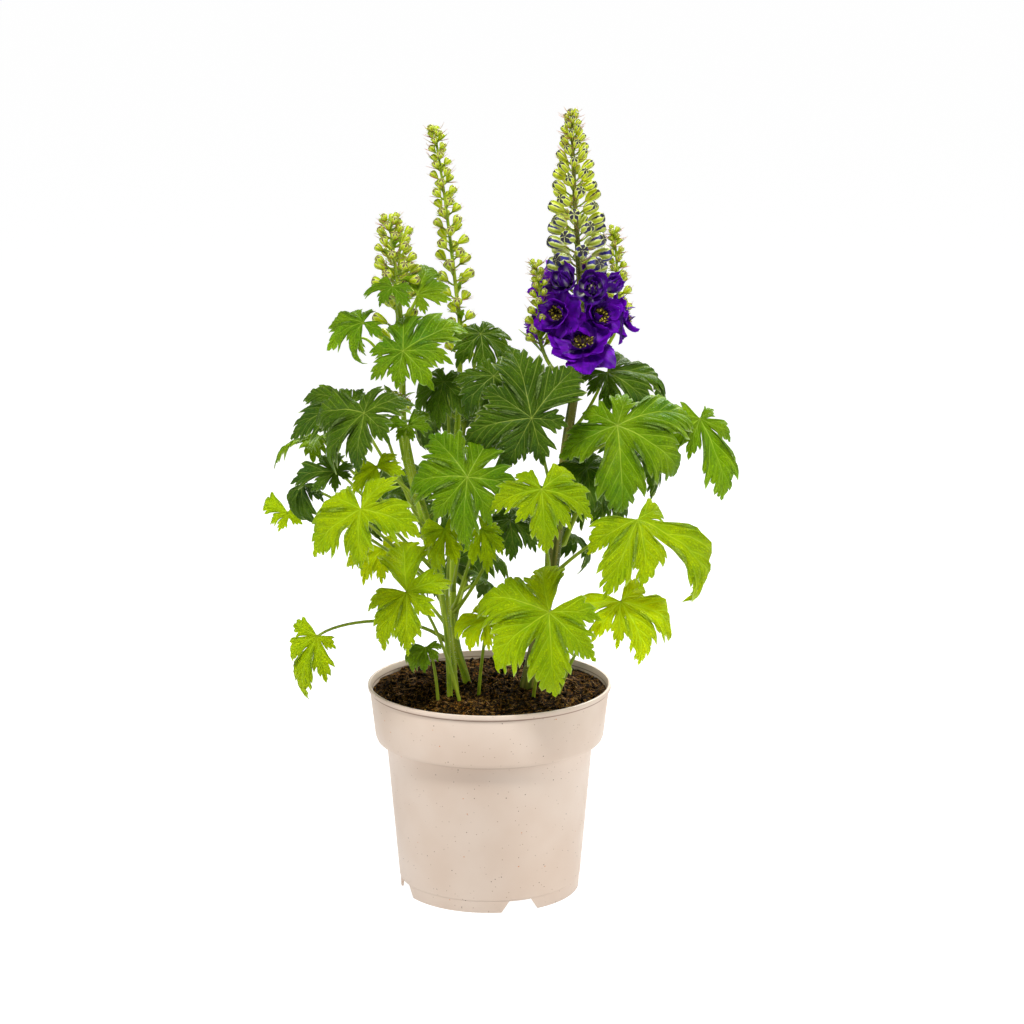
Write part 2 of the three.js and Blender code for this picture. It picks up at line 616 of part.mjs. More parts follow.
// A point of the drooping blade: out from the hub along one direction, and bent over like a loaded strip.
function bladePoint(leaf, reach, angle) {
  const { normal, down, right } = leaf.frame;
  const out = down.clone().multiplyScalar(Math.cos(angle)).addScaledVector(right, Math.sin(angle));
  const pull = normal.clone().negate().addScaledVector(up, -blade.sag);
  pull.addScaledVector(out, -pull.dot(out));
  const curl = Math.max(1e-4, (leaf.droop / leaf.size) * pull.length());
  const bend = Math.min(blade.maxBend, curl * reach);
  return leaf.place.clone()
    .addScaledVector(out, Math.sin(bend) / curl)
    .addScaledVector(pull.normalize(), (1 - Math.cos(bend)) / curl);
}

function bladeCorner(leaf, reach, angle, lift, rim) {
  const at = bladePoint(leaf, reach, angle);
  let normal = leaf.frame.normal;
  if (reach > 1) {
    const step = 0.5;
    const radial = bladePoint(leaf, reach + step, angle).sub(at);
    const around = bladePoint(leaf, reach, angle + step / reach).sub(at);
    normal = radial.cross(around).normalize();
  }
  const ripple = blade.ripple * reach * Math.sin(3 * angle + leaf.size);
  at.addScaledVector(normal, lift + ripple);
  return { at, normal, rim };
}

// Half a lobe, on the side that the sign gives, from the hub to the tip.
function halfLobe(leaf, corners, [degrees, length], spread, sinus, sign) {
  const angle = radians(degrees);
  const halfWidth = Math.min(lobeTeeth[0][0] * Math.tan(radians(spread)), lobe.mostHalf / length);
  const place = (along, acrossShare, rim) => {
    const side = acrossShare * halfWidth;
    const reach = length * Math.hypot(along, side);
    const lift = lobe.fold * side * length;
    return bladeCorner(leaf, reach, angle + sign * Math.atan2(side, along), lift, rim);
  };
  const [tooth1, notch1, tooth2, notch2] = lobeTeeth.map(([along, share]) => place(along, share, true));
  const { hub, rib1, rib2, tip } = corners;
  const inner = [[hub, rib1, sinus], [rib1, tooth1, sinus]];
  const outer = {
    plain: [[rib1, tip, tooth1]],
    short: [[rib1, notch1, tooth1], [rib1, tip, notch1]],
    full: [[rib1, notch1, tooth1], [rib1, rib2, notch1], [rib2, tooth2, notch1], [rib2, notch2, tooth2],
      [rib2, tip, notch2]],
  };
  const cut = length < lobe.plainBelow ? 'short' : 'full';
  const faces = [...inner, ...outer[leaf.plain ? 'plain' : cut]];
  return sign > 0 ? faces : faces.map(([a, b, c]) => [a, c, b]);
}

function leafFaces(leaf) {
  const { lobes } = leaf;
  const hub = bladeCorner(leaf, 0, 0, 0, false);
  const faces = [];
  const gapAfter = lobes.map(([angle], i) => {
    const next = i + 1 < lobes.length ? lobes[i + 1][0] : lobes[0][0] + 360;
    return next - angle;
  });
  const spreadOf = (width) => Math.min(lobe.widest, lobe.share * width);
  const corners = lobes.map(([degrees, length]) => ({
    hub,
    rib1: bladeCorner(leaf, length * lobeRib[0], radians(degrees), 0, false),
    rib2: bladeCorner(leaf, length * lobeRib[1], radians(degrees), 0, false),
    tip: bladeCorner(leaf, length, radians(degrees), 0, true),
  }));
  lobes.forEach((own, i) => {
    const j = (i + 1) % lobes.length;
    const next = lobes[j];
    const width = gapAfter[i];
    const spread = spreadOf(width);
    if (width <= lobe.wideGap) {
      const reach = lobe.sinus * Math.min(own[1], next[1]);
      const sinus = bladeCorner(leaf, reach, radians(own[0] + width / 2), 0, true);
      faces.push(...halfLobe(leaf, corners[i], own, spread, sinus, 1));
      faces.push(...halfLobe(leaf, corners[j], next, spread, sinus, -1));
    } else {
      const side = (part, sign) => bladeCorner(
        leaf, lobe.sinus * part[1], radians(part[0] + sign * spread * lobe.openSide), 0, true);
      const [first, second] = [side(own, 1), side(next, -1)];
      const middle = bladeCorner(leaf, blade.hubNotch, radians(own[0] + width / 2), 0, true);
      faces.push(...halfLobe(leaf, corners[i], own, spread, first, 1));
      faces.push(...halfLobe(leaf, corners[j], next, spread, second, -1));
      faces.push([hub, first, middle], [hub, middle, second]);
    }
  });
  return faces;
}

function stemCurve(name) {
  return new THREE.CatmullRomCurve3(stems[name].points.map(vector), false, 'catmullrom', 0.5);
}

// The stem's share of its length, middle and radius at a height.
function stemAt(name, z) {
  const curve = stemCurve(name);
  let [low, high] = [0, 1];
  for (let i = 0; i < 24; i += 1) {
    const middle = (low + high) / 2;
    if (curve.getPoint(middle).z < z) low = middle;
    else high = middle;
  }
  const [first, last] = stems[name].radii;
  return { t: low, at: curve.getPoint(low), radius: THREE.MathUtils.lerp(first, last, low) };
}

// The leaf stalk: out from its stem, or up out of the soil, then over into the hub from behind the blade.
function stalkCurve(leaf) {
  const { normal, down } = leaf.frame;
  const end = leaf.place.clone().addScaledVector(normal, -stalk.collar);
  let foot;
  let leave;
  if (leaf.root) {
    foot = leaf.root;
    leave = new THREE.Vector3(end.x - foot.x, end.y - foot.y, 0).normalize().setZ(stalk.climb);
  } else if (leaf.soil) {
    foot = new THREE.Vector3(...leaf.soil, soil.edge - soil.rooting);
    leave = new THREE.Vector3(end.x - foot.x, end.y - foot.y, 0);
    leave.multiplyScalar(stalk.soilLean).setZ(end.z - foot.z);
  } else {
    const { at, radius } = stemAt(leaf.stem, leaf.z);
    const away = new THREE.Vector3(end.x - at.x, end.y - at.y, 0).normalize();
    foot = leaf.fused ? at : at.addScaledVector(away, radius + stalk.foot + stalkGap);
    leave = away.setZ(stalk.climb);
  }
  const length = foot.distanceTo(end);
  const arrive = normal.clone().multiplyScalar(stalk.arrive.normal);
  arrive.addScaledVector(down, stalk.arrive.down).normalize();
  return new THREE.CubicBezierCurve3(
    foot,
    foot.clone().addScaledVector(leave.normalize(), length * stalk.leaveShare),
    end.clone().addScaledVector(arrive, -length * stalk.arriveShare),
    end,
  );
}

function readLeaf(leaf) {
  const lobes = leaf.lobes ?? fanAngles.map((angle, i) => [angle, leaf.size * fanShares[i]]);
  const size = leaf.size ?? Math.max(...lobes.map(([, length]) => length));
  return { ...leaf, lobes, size, place: vector(leaf.hub), frame: facing(leaf.face) };
}

// A leaf in one skin: the stalk's walls open out into the back of the blade.
function leafSkin(leaf) {
  const faces = leafFaces(leaf);
  const curve = stalkCurve(leaf);
  const rings = ringsAlong(curve, leaf.steps ?? stalk.steps, [stalk.foot, stalk.top], stalk.sides);
  return fromTriangles([
    ...sheet(faces, 1, blade.half),
    ...sheet(faces, -1, blade.half, rings[rings.length - 1]),
    ...walls(rings),
    ...cap(rings[0], curve.getPoint(0), true),
  ]);
}

function makeLeaf(leaf) {
  return solidOf(leafSkin(readLeaf(leaf)));
}

// The room in the soil for a stalk or a stem: the same rod with a little more radius, a little deeper.
function holeAround(curve, steps, radii, sides) {
  const extra = holeGap / Math.cos(Math.PI / sides);
  const rings = ringsAlong(curve, steps, radii.map((radius) => radius + extra), sides);
  const deeper = curve.getTangent(0).multiplyScalar(-holeGap);
  rings[0].forEach((corner) => corner.add(deeper));
  const last = rings.findIndex((corners) => corners.every(({ z }) => z > soil.holeTop));
  return loft(rings.slice(0, last + 1), curve.getPoint(0).add(deeper), curve.getPoint(last / steps));
}

function soilHoles() {
  const rooted = Object.keys(stems).filter((name) => stems[name].points[0][2] < soil.edge);
  const stemHoles = rooted.map((name) => {
    const { steps, radii, sides } = stems[name];
    return holeAround(stemCurve(name), steps, radii, sides);
  });
  const stalkHoles = Object.values(leaves).filter((leaf) => leaf.soil).map((leaf) => (
    holeAround(stalkCurve(readLeaf(leaf)), stalk.steps, [stalk.foot, stalk.top], stalk.sides)));
  return [...stemHoles, ...stalkHoles];
}

// ---- Spikes ------------------------------------------------------------------------------------

// A bud on its stalk, in one skin: the stalk leaves the stem, and the bud swells at its end. The highest
// buds sit so close that they swell straight from the stem.
function budOnStalk(at, out, spike, pick) {
  const rise = radians(pick(spike.rise));
  const reach = pick(spike.stalk, spike.taper);
  const axis = out.clone().multiplyScalar(Math.cos(rise)).setZ(Math.sin(rise));
  const foot = at.clone().addScaledVector(out, reach).addScaledVector(up, reach * bud.climb);
  const along = foot.clone().sub(at).normalize();
  const [length, width] = [pick(spike.length, spike.taper), pick(spike.width)];
  const sides = reach < bud.shortStalk ? bud.shortSides : spike.sides;
  const rings = reach < bud.shortStalk
    ? []
    : [ring(at, along, bud.stalk, sides), ring(foot, along, bud.stalk, sides)];
  for (const [share, part] of spike.profile) {
    rings.push(ring(foot.clone().addScaledVector(axis, length * share), axis, width * part, sides));
  }
  return loft(rings, at, foot.clone().addScaledVector(axis, length));
}

function spikeParts(spike) {
  return Array.from({ length: spike.count }, (_, i) => {
    const t = i / (spike.count - 1);
    const pick = ([low, high], taper = 1) => THREE.MathUtils.lerp(low, high, t ** taper);
    const { at } = stemAt(spike.stem, pick([spike.from, spike.to]));
    const angle = spike.turn + i * goldenAngle;
    return budOnStalk(at, new THREE.Vector3(Math.cos(angle), Math.sin(angle), 0), spike, pick);
  });
}

// A narrow leaflet with a fold along its rib, from inside its stem out to a point.
function makeLeaflet(foot, out, set, pick) {
  const rise = radians(pick(set.rise));
  const axis = out.clone().multiplyScalar(Math.cos(rise)).setZ(Math.sin(rise));
  const side = new THREE.Vector3(-out.y, out.x, 0);
  const face = new THREE.Vector3().crossVectors(axis, side);
  const length = pick(set.length);
  const corner = (share, aside, lift, rim) => ({
    at: foot.clone()
      .addScaledVector(axis, length * share)
      .addScaledVector(side, aside)
      .addScaledVector(face, lift),
    normal: face,
    rim,
  });
  const root = corner(0, 0, 0, true);
  const rib = corner(leaflet.ribWidest, 0, 0, false);
  const left = corner(leaflet.widest, set.width / 2, leaflet.fold, true);
  const right = corner(leaflet.widest, -set.width / 2, leaflet.fold, true);
  const tip = corner(1, 0, -leaflet.sag, true);
  return lens([[root, right, rib], [rib, right, tip], [rib, tip, left], [root, rib, left]], leaflet.half);
}

function leafletParts(set) {
  return Array.from({ length: set.count }, (_, i) => {
    const pick = ([low, high]) => THREE.MathUtils.lerp(low, high, i / (set.count - 1));
    const { at } = stemAt(set.stem, pick([set.from, set.to]));
    const angle = set.turn + i * goldenAngle;
    return makeLeaflet(at, new THREE.Vector3(Math.cos(angle), Math.sin(angle), 0), set, pick);
  });
}

function stemRod(name) {
  const { radii, sides, steps } = stems[name];
  return rod(stemCurve(name), steps, radii, sides);
}

function stemLeafParts(name) {
  return (stemLeaves[name] ?? []).map((leaf) => leafSkin(readLeaf(leaf)));
}

// A side shoot: a thin branch with three leaves on stalks of their own.
function makeShoot({ stem, z, azimuth, reach, rise, size }) {
  const { at, radius } = stemAt(stem, z);
  const heading = (degrees) => new THREE.Vector3(Math.sin(radians(degrees)), -Math.cos(radians(degrees)), 0);
  const out = heading(azimuth);
  const foot = at.clone().addScaledVector(out, radius + shoot.radii[0] + stalkGap);
  const end = foot.clone().addScaledVector(out, reach).addScaledVector(up, rise);
  const bend = foot.clone()
    .addScaledVector(out, reach * shoot.bend.out)
    .addScaledVector(up, rise * shoot.bend.rise);
  const branch = new THREE.QuadraticBezierCurve3(foot, bend, end);
  const parts = [rod(branch, shoot.steps, shoot.radii, shoot.sides)];
  for (const [share, turn, part] of shootLeaves) {
    const own = size * part;
    const hub = branch.getPoint(share)
      .addScaledVector(heading(azimuth + turn), own * shoot.leafReach)
      .addScaledVector(up, own * shoot.leafRise);
    parts.push(leafSkin({
      lobes: shootAngles.map((angle, i) => [angle, own * shootShares[i]]),
      size: own,
      droop: shoot.droop,
      place: hub,
      frame: facing([azimuth + turn, shoot.height]),
      root: branch.getPoint(share),
      steps: shoot.steps - 1,
      plain: true,
    }));
  }
  return fuse(parts);
}

// ---- Flowers -----------------------------------------------------------------------------------

// A point of a whorl of petals: it lies flat at the middle and rises more and more towards the tips.
function whorlCorner(flower, layer, along, angle, rim) {
  const { normal, down, right } = flower.frame;
  const out = down.clone().multiplyScalar(Math.cos(angle)).addScaledVector(right, Math.sin(angle));
  const rise = radians(flower.cup + layer.cup) * along;
  const reach = layer.length * flower.radius * along;
  const at = flower.place.clone()
    .addScaledVector(out, reach * Math.cos(rise))
    .addScaledVector(normal, layer.lift + reach * Math.sin(rise));
  const face = normal.clone().multiplyScalar(Math.cos(rise)).addScaledVector(out, -Math.sin(rise));
  return { at, normal: face, rim };
}

// A whorl of petals joined round the middle, as one thin blade.
function whorlFaces(flower, layer) {
  const step = (2 * Math.PI) / layer.count;
  const hub = whorlCorner(flower, layer, 0, 0, false);
  const faces = [];
  for (let i = 0; i < layer.count; i += 1) {
    const angle = layer.turn + i * step;
    const place = ([along, side], sign, rim) => whorlCorner(
      flower, layer, Math.hypot(along, side), angle + sign * Math.atan2(side, along), rim);
    const rib = place([petal.rib, 0], 1, false);
    const tip = place(petal.tip, 1, true);
    for (const sign of [1, -1]) {
      const sinus = whorlCorner(flower, layer, petal.sinus, angle + (sign * step) / 2, true);
      const wide = place(petal.wide, sign, true);
      const shoulder = place(petal.shoulder, sign, true);
      const half = [[hub, rib, sinus], [rib, wide, sinus], [rib, shoulder, wide], [rib, tip, shoulder]];
      faces.push(...(sign > 0 ? half : half.map(([p, q, r]) => [p, r, q])));
    }
  }
  return faces;
}

function readFlower(flower) {
  return { ...flower, place: vector(flower.hub), frame: facing(flower.face) };
}

// A bloom: the back of the outer whorl runs into the core, its front opens through a neck into the back of
// the inner whorl, and a spur stands out of the core.
function makeFlower(flower) {
  const whole = readFlower(flower);
  const { place: middle, frame } = whole;
  const { core, spur, neck, half } = petal;
  const [outer, inner] = petal.layers.map((layer) => whorlFaces(whole, layer));
  const plane = [frame.down, frame.right];
  const ringAt = (depth, radius) => ringOn(
    middle.clone().addScaledVector(frame.normal, -depth), plane, radius, core.sides);
  const tip = middle.clone().addScaledVector(frame.normal, -core.depth);
  const coreRings = [ringAt(core.depth - core.shoulder, core.radius), ringAt(core.shoulder, core.radius)];
  const neckRing = ringAt(-neck.height, neck.radius);
  const bloom = fromTriangles([
    ...cap(coreRings[0], tip, true),
    ...walls(coreRings),
    ...sheet(outer, -1, half, coreRings[1]),
    ...(flower.whorls === 1
      ? sheet(outer, 1, half)
      : [...sheet(outer, 1, half, neckRing), ...sheet(inner, -1, half, neckRing), ...sheet(inner, 1, half)]),
  ]);
  const back = frame.normal.clone().negate().addScaledVector(up, spur.climb).normalize();
  const spurFoot = middle.clone().addScaledVector(frame.normal, -core.depth / 2);
  return fuse([bloom, spindle(spurFoot, back, spur.length, spur.radius, spur.sides, spur.profile)]);
}

// The dark eye: a small star of stamens that stands clear in the cup of the petals.
function makeEye(flower) {
  const { place: middle, frame } = readFlower(flower);
  const points = 2 * eye.arms;
  const [a, b] = [frame.down, frame.right];
  const ringOf = (height, radius, valley) => Array.from({ length: points }, (_, i) => {
    const angle = (2 * Math.PI * i) / points;
    const reach = i % 2 ? radius * valley : radius;
    return middle.clone()
      .addScaledVector(a, reach * Math.cos(angle))
      .addScaledVector(b, reach * Math.sin(angle))
      .addScaledVector(frame.normal, height);
  });
  const tipAt = (height) => middle.clone().addScaledVector(frame.normal, height);
  const rings = [ringOf(eye.foot, eye.neck, 1), ringOf(eye.rise, flower.eye, eye.valley)];
  return solidOf(loft(rings, tipAt(eye.foot - eye.footBulge), tipAt(eye.rise - eye.topDip)));
}

// The stalk of a flower, from the stem to just behind its core.
function flowerStalk({ hub, face, from }) {
  const { normal } = facing(face);
  const { gap: clear, bend, radii, steps, sides } = petal.stalk;
  const end = vector(hub).addScaledVector(normal, -petal.core.depth - clear);
  const { at } = stemAt('main', from);
  const control = end.clone().addScaledVector(normal, -bend);
  return rod(new THREE.QuadraticBezierCurve3(at, control, end), steps, radii, sides);
}

// ---- Assembly ----------------------------------------------------------------------------------

const finishes = {
  pot: { color: 0xdac8b9, roughness: 0.55, metalness: 0 },
  soil: { color: 0x33231a, roughness: 1, metalness: 0 },
  stem: { color: 0x9ab53a, roughness: 0.55, metalness: 0 },
  mainStem: { color: 0x7d8f45, roughness: 0.55, metalness: 0 },
  flower: { color: 0x4a1590, roughness: 0.5, metalness: 0 },
  eye: { color: 0x2a1d18, roughness: 0.7, metalness: 0 },
  dark: { color: 0x35622c, roughness: 0.5, metalness: 0 },
  middle: { color: 0x5f951f, roughness: 0.5, metalness: 0 },
  bright: { color: 0x8cbc12, roughness: 0.5, metalness: 0 },
};

const plant = new THREE.Group();

function place(name, solid, finish) {
  const mesh = new THREE.Mesh(geometryOf(solid), new THREE.MeshStandardMaterial(finishes[finish]));
  mesh.name = name;
  plant.add(mesh);
}

function placeStem(name, stem, spikeNames) {
  place(name, fuse([
    stemRod(stem),
    ...spikeNames.flatMap((spike) => spikeParts(spikes[spike])),
    ...leafletParts(leaflets[stem]),
    ...stemLeafParts(stem),
  ]), 'stem');
}

place('pot', makePot(), 'pot');
place('soil', makeSoil(soilHoles()), 'soil');
place('stem_main', fuse([
  stemRod('main'), stemRod('sideLeft'), stemRod('sideRight'),
  ...spikeParts(spikes.main), ...spikeParts(spikes.sideLeft), ...spikeParts(spikes.sideRight),
  ...leafletParts(leaflets.sideLeft),
  ...Object.values(flowers).map(flowerStalk),
]), 'mainStem');
for (const [name, flower] of Object.entries(flowers)) {
  place(name, makeFlower(flower), 'flower');
  if (flower.eye) place(name.replace('flower', 'eye'), makeEye(flower), 'eye');
}
placeStem('stem_middle', 'middle', ['middleLow', 'middleHigh']);
placeStem('stem_left', 'left', ['left']);
placeStem('stem_back_left', 'backLeft', ['backLeft']);
placeStem('shoot_young', 'young', ['young']);
for (const [name, leaf] of Object.entries(leaves)) place(name, makeLeaf(leaf), leaf.tone ?? 'middle');
for (const [name, leaf] of Object.entries(fanLeaves)) place(name, makeLeaf(leaf), 'dark');
for (const [name, part] of Object.entries(backShoots)) place(name, makeShoot(part), 'dark');

// The origin: on the floor, under the middle of the whole.
const bounds = new THREE.Box3().setFromObject(plant);
const middle = bounds.getCenter(new THREE.Vector3());
for (const mesh of plant.children) mesh.geometry.translate(-middle.x, -middle.y, -bounds.min.z);

export default plant;
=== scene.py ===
import math
import random

import bmesh
import bpy
from mathutils import Matrix, Vector, noise


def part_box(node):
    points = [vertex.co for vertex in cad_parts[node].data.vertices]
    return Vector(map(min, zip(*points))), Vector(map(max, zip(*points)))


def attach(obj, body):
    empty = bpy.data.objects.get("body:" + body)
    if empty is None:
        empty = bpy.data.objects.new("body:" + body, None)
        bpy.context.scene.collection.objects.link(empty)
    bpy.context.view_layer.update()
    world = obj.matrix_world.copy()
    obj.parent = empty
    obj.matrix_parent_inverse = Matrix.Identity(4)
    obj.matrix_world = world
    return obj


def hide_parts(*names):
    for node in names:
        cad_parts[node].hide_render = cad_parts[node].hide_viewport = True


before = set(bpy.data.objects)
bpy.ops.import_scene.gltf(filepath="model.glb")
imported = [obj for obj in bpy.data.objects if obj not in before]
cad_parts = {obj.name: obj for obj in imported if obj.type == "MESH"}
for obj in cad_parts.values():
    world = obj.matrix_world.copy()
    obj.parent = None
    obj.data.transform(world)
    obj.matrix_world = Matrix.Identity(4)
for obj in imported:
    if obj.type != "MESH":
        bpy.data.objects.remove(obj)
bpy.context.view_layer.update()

potLow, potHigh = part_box("pot")
potAxis = Vector(((potLow.x + potHigh.x) / 2, (potLow.y + potHigh.y) / 2, 0))
# Pieces are shaped in mm from the pot's axis and then moved into the frame.
intoFrame = Matrix.Translation(potAxis) @ Matrix.Scale(0.001, 4)
up = Vector((0, 0, 1))
goldenAngle = math.radians(137.5)

# Camera, light and floor

camera = {"place": (0.0176, -2.074, 0.755), "tilt": 12.35, "lens": 96.7, "clipEnd": 200}
lamps = {
    "back": dict(place=(0.45, 1.2, 1.4), size=0.8, power=54),
    "key": dict(place=(-0.1, -1.0, 1.9), size=0.4, power=45),
    "right": dict(place=(1.5, -0.3, 0.6), size=0.7, power=13),
    "left": dict(place=(-1.5, -0.4, 0.6), size=0.9, power=8),
}
lampAim = Vector((0, 0, 0.28))
sky = {"light": 0.09, "seen": 1.0}
floor = {"size": 60, "colour": "#7c7c7c", "glow": 0.97}


def linear(code):
    parts = [int(code[i:i + 2], 16) / 255 for i in (1, 3, 5)]
    return (*[p / 12.92 if p <= 0.04045 else ((p + 0.055) / 1.055) ** 2.4 for p in parts], 1)


def node(tree, kind, inputs=None, **settings):
    # An input is a plain value, an sRGB code, or the node or socket that it is linked to.
    made = tree.nodes.new("ShaderNode" + kind)
    for name, value in settings.items():
        setattr(made, name, value)
    for key, value in (inputs or {}).items():
        socket = made.inputs[key]
        if isinstance(value, bpy.types.Node):
            value = next(output for output in value.outputs if output.enabled)
        if isinstance(value, bpy.types.NodeSocket):
            tree.links.new(value, socket)
        else:
            socket.default_value = linear(value) if isinstance(value, str) else value
    return made


def link(thing):
    bpy.context.scene.collection.objects.link(thing)
    return thing


def meshObject(name, bm, materials=()):
    mesh = bpy.data.meshes.new(name)
    bm.to_mesh(mesh)
    bm.free()
    for material in materials:
        mesh.materials.append(material)
    return link(bpy.data.objects.new(name, mesh))


def newMaterial(name):
    material = bpy.data.materials.new(name)
    material.use_nodes = True
    material.node_tree.nodes.clear()
    return material, material.node_tree


def makeStudio():
    eye = link(bpy.data.objects.new("camera", bpy.data.cameras.new("camera")))
    eye.location = potAxis + Vector(camera["place"])
    eye.rotation_euler = (math.radians(90 - camera["tilt"]), 0, 0)
    eye.data.lens = camera["lens"]
    eye.data.clip_end = camera["clipEnd"]
    bpy.context.scene.camera = eye
    for name, lamp in lamps.items():
        light = bpy.data.lights.new(name, "AREA")
        light.energy, light.size = lamp["power"], lamp["size"]
        box = link(bpy.data.objects.new(name, light))
        box.location = potAxis + Vector(lamp["place"])
        box.rotation_euler = (lampAim - Vector(lamp["place"])).to_track_quat("-Z", "Y").to_euler()
    world = bpy.data.worlds.new("studio")
    world.use_nodes = True
    tree = world.node_tree
    tree.nodes.clear()
    seen = node(tree, "LightPath").outputs["Is Camera Ray"]
    strength = node(tree, "MapRange", {0: seen, 3: sky["light"], 4: sky["seen"]})
    glow = node(tree, "Background", {"Color": "#ffffff", "Strength": strength})
    node(tree, "OutputWorld", {"Surface": glow})
    bpy.context.scene.world = world
    bpy.context.scene.view_settings.view_transform = "Standard"

    board, tree = newMaterial("opalAcrylicLightTable")  # an even white glow that shows no shadow
    shader = node(tree, "BsdfPrincipled", {
        "Base Color": floor["colour"], "Roughness": 0.9,
        "Emission Color": "#ffffff", "Emission Strength": floor["glow"]})
    node(tree, "OutputMaterial", {"Surface": shader})
    bm = bmesh.new()
    bmesh.ops.create_grid(bm, x_segments=1, y_segments=1, size=floor["size"] / 2)
    meshObject("floor", bm, [board])


makeStudio()
print("stage: camera, lamps and floor")

# Materials

smooth = {"interpolation_type": "SMOOTHSTEP"}
blend = {"data_type": "RGBA"}


def patches(tree, place, millimetres, low=0.36, high=0.64):
    # Soft-edged patches of a real size, as a share from 0 to 1.
    cloud = node(tree, "TexNoise", {"Vector": place, "Scale": 1000 / millimetres, "Detail": 3})
    return node(tree, "MapRange", {0: cloud, 1: low, 2: high}, **smooth)


def thin(tree, skin, through, share, relief):
    # Living tissue thin enough for light from behind.
    glow = node(tree, "BsdfTranslucent", {"Color": through, "Normal": relief})
    node(tree, "OutputMaterial", {"Surface": node(tree, "MixShader", {0: share, 1: skin, 2: glow})})


# Veins: the width of a rib and a side vein and of the painted shade beside them in their furrows, as shares
# of a lobe, and the mesh of the fine net, the depth of the relief and the size of its quilting in mm.
veins = {"perLeaf": 8, "rib": (0.004, 0.028), "side": (0.006, 0.035), "paintedShadeBesideRib": (0.02, 0.22),
         "paintedShadeBesideSide": (0.03, 0.2), "lesser": 0.2, "fine": 2.2, "depth": 0.001, "quilt": 6}
# How much of a leaf's shade is its own, and the sizes of its patches in mm.
mottle = {"own": 0.45, "shade": 22, "cool": 38, "deep": 1.6, "gloss": 1.2}
# Leaf tones, from dark to glowing, are lit and shaded copies of one leaf: painted light and shade.
litAndShadedLeafTones = {
    "dark": dict(face="#43620c", other="#6c8e12", cool="#2e5426", deep="#203a0a", vein="#b4c24c",
                 lit="#9cbe04", under="#7f9650", through=0.4),
    "middle": dict(face="#608c08", other="#9ab60e", cool="#407a20", deep="#345f08", vein="#c8d648",
                   lit="#d2ee02", under="#8fa950", through=0.47),
    "bright": dict(face="#7eaa02", other="#c8dc04", cool="#54900a", deep="#4c7c04", vein="#e0e83c",
                   lit="#f6ff00", under="#a6bd50", through=0.58),
    "glowing": dict(face="#a8d202", other="#dcf404", cool="#82b808", deep="#78a604", vein="#eef460",
                    lit="#ffff00", under="#b0cc50", through=0.66),
}


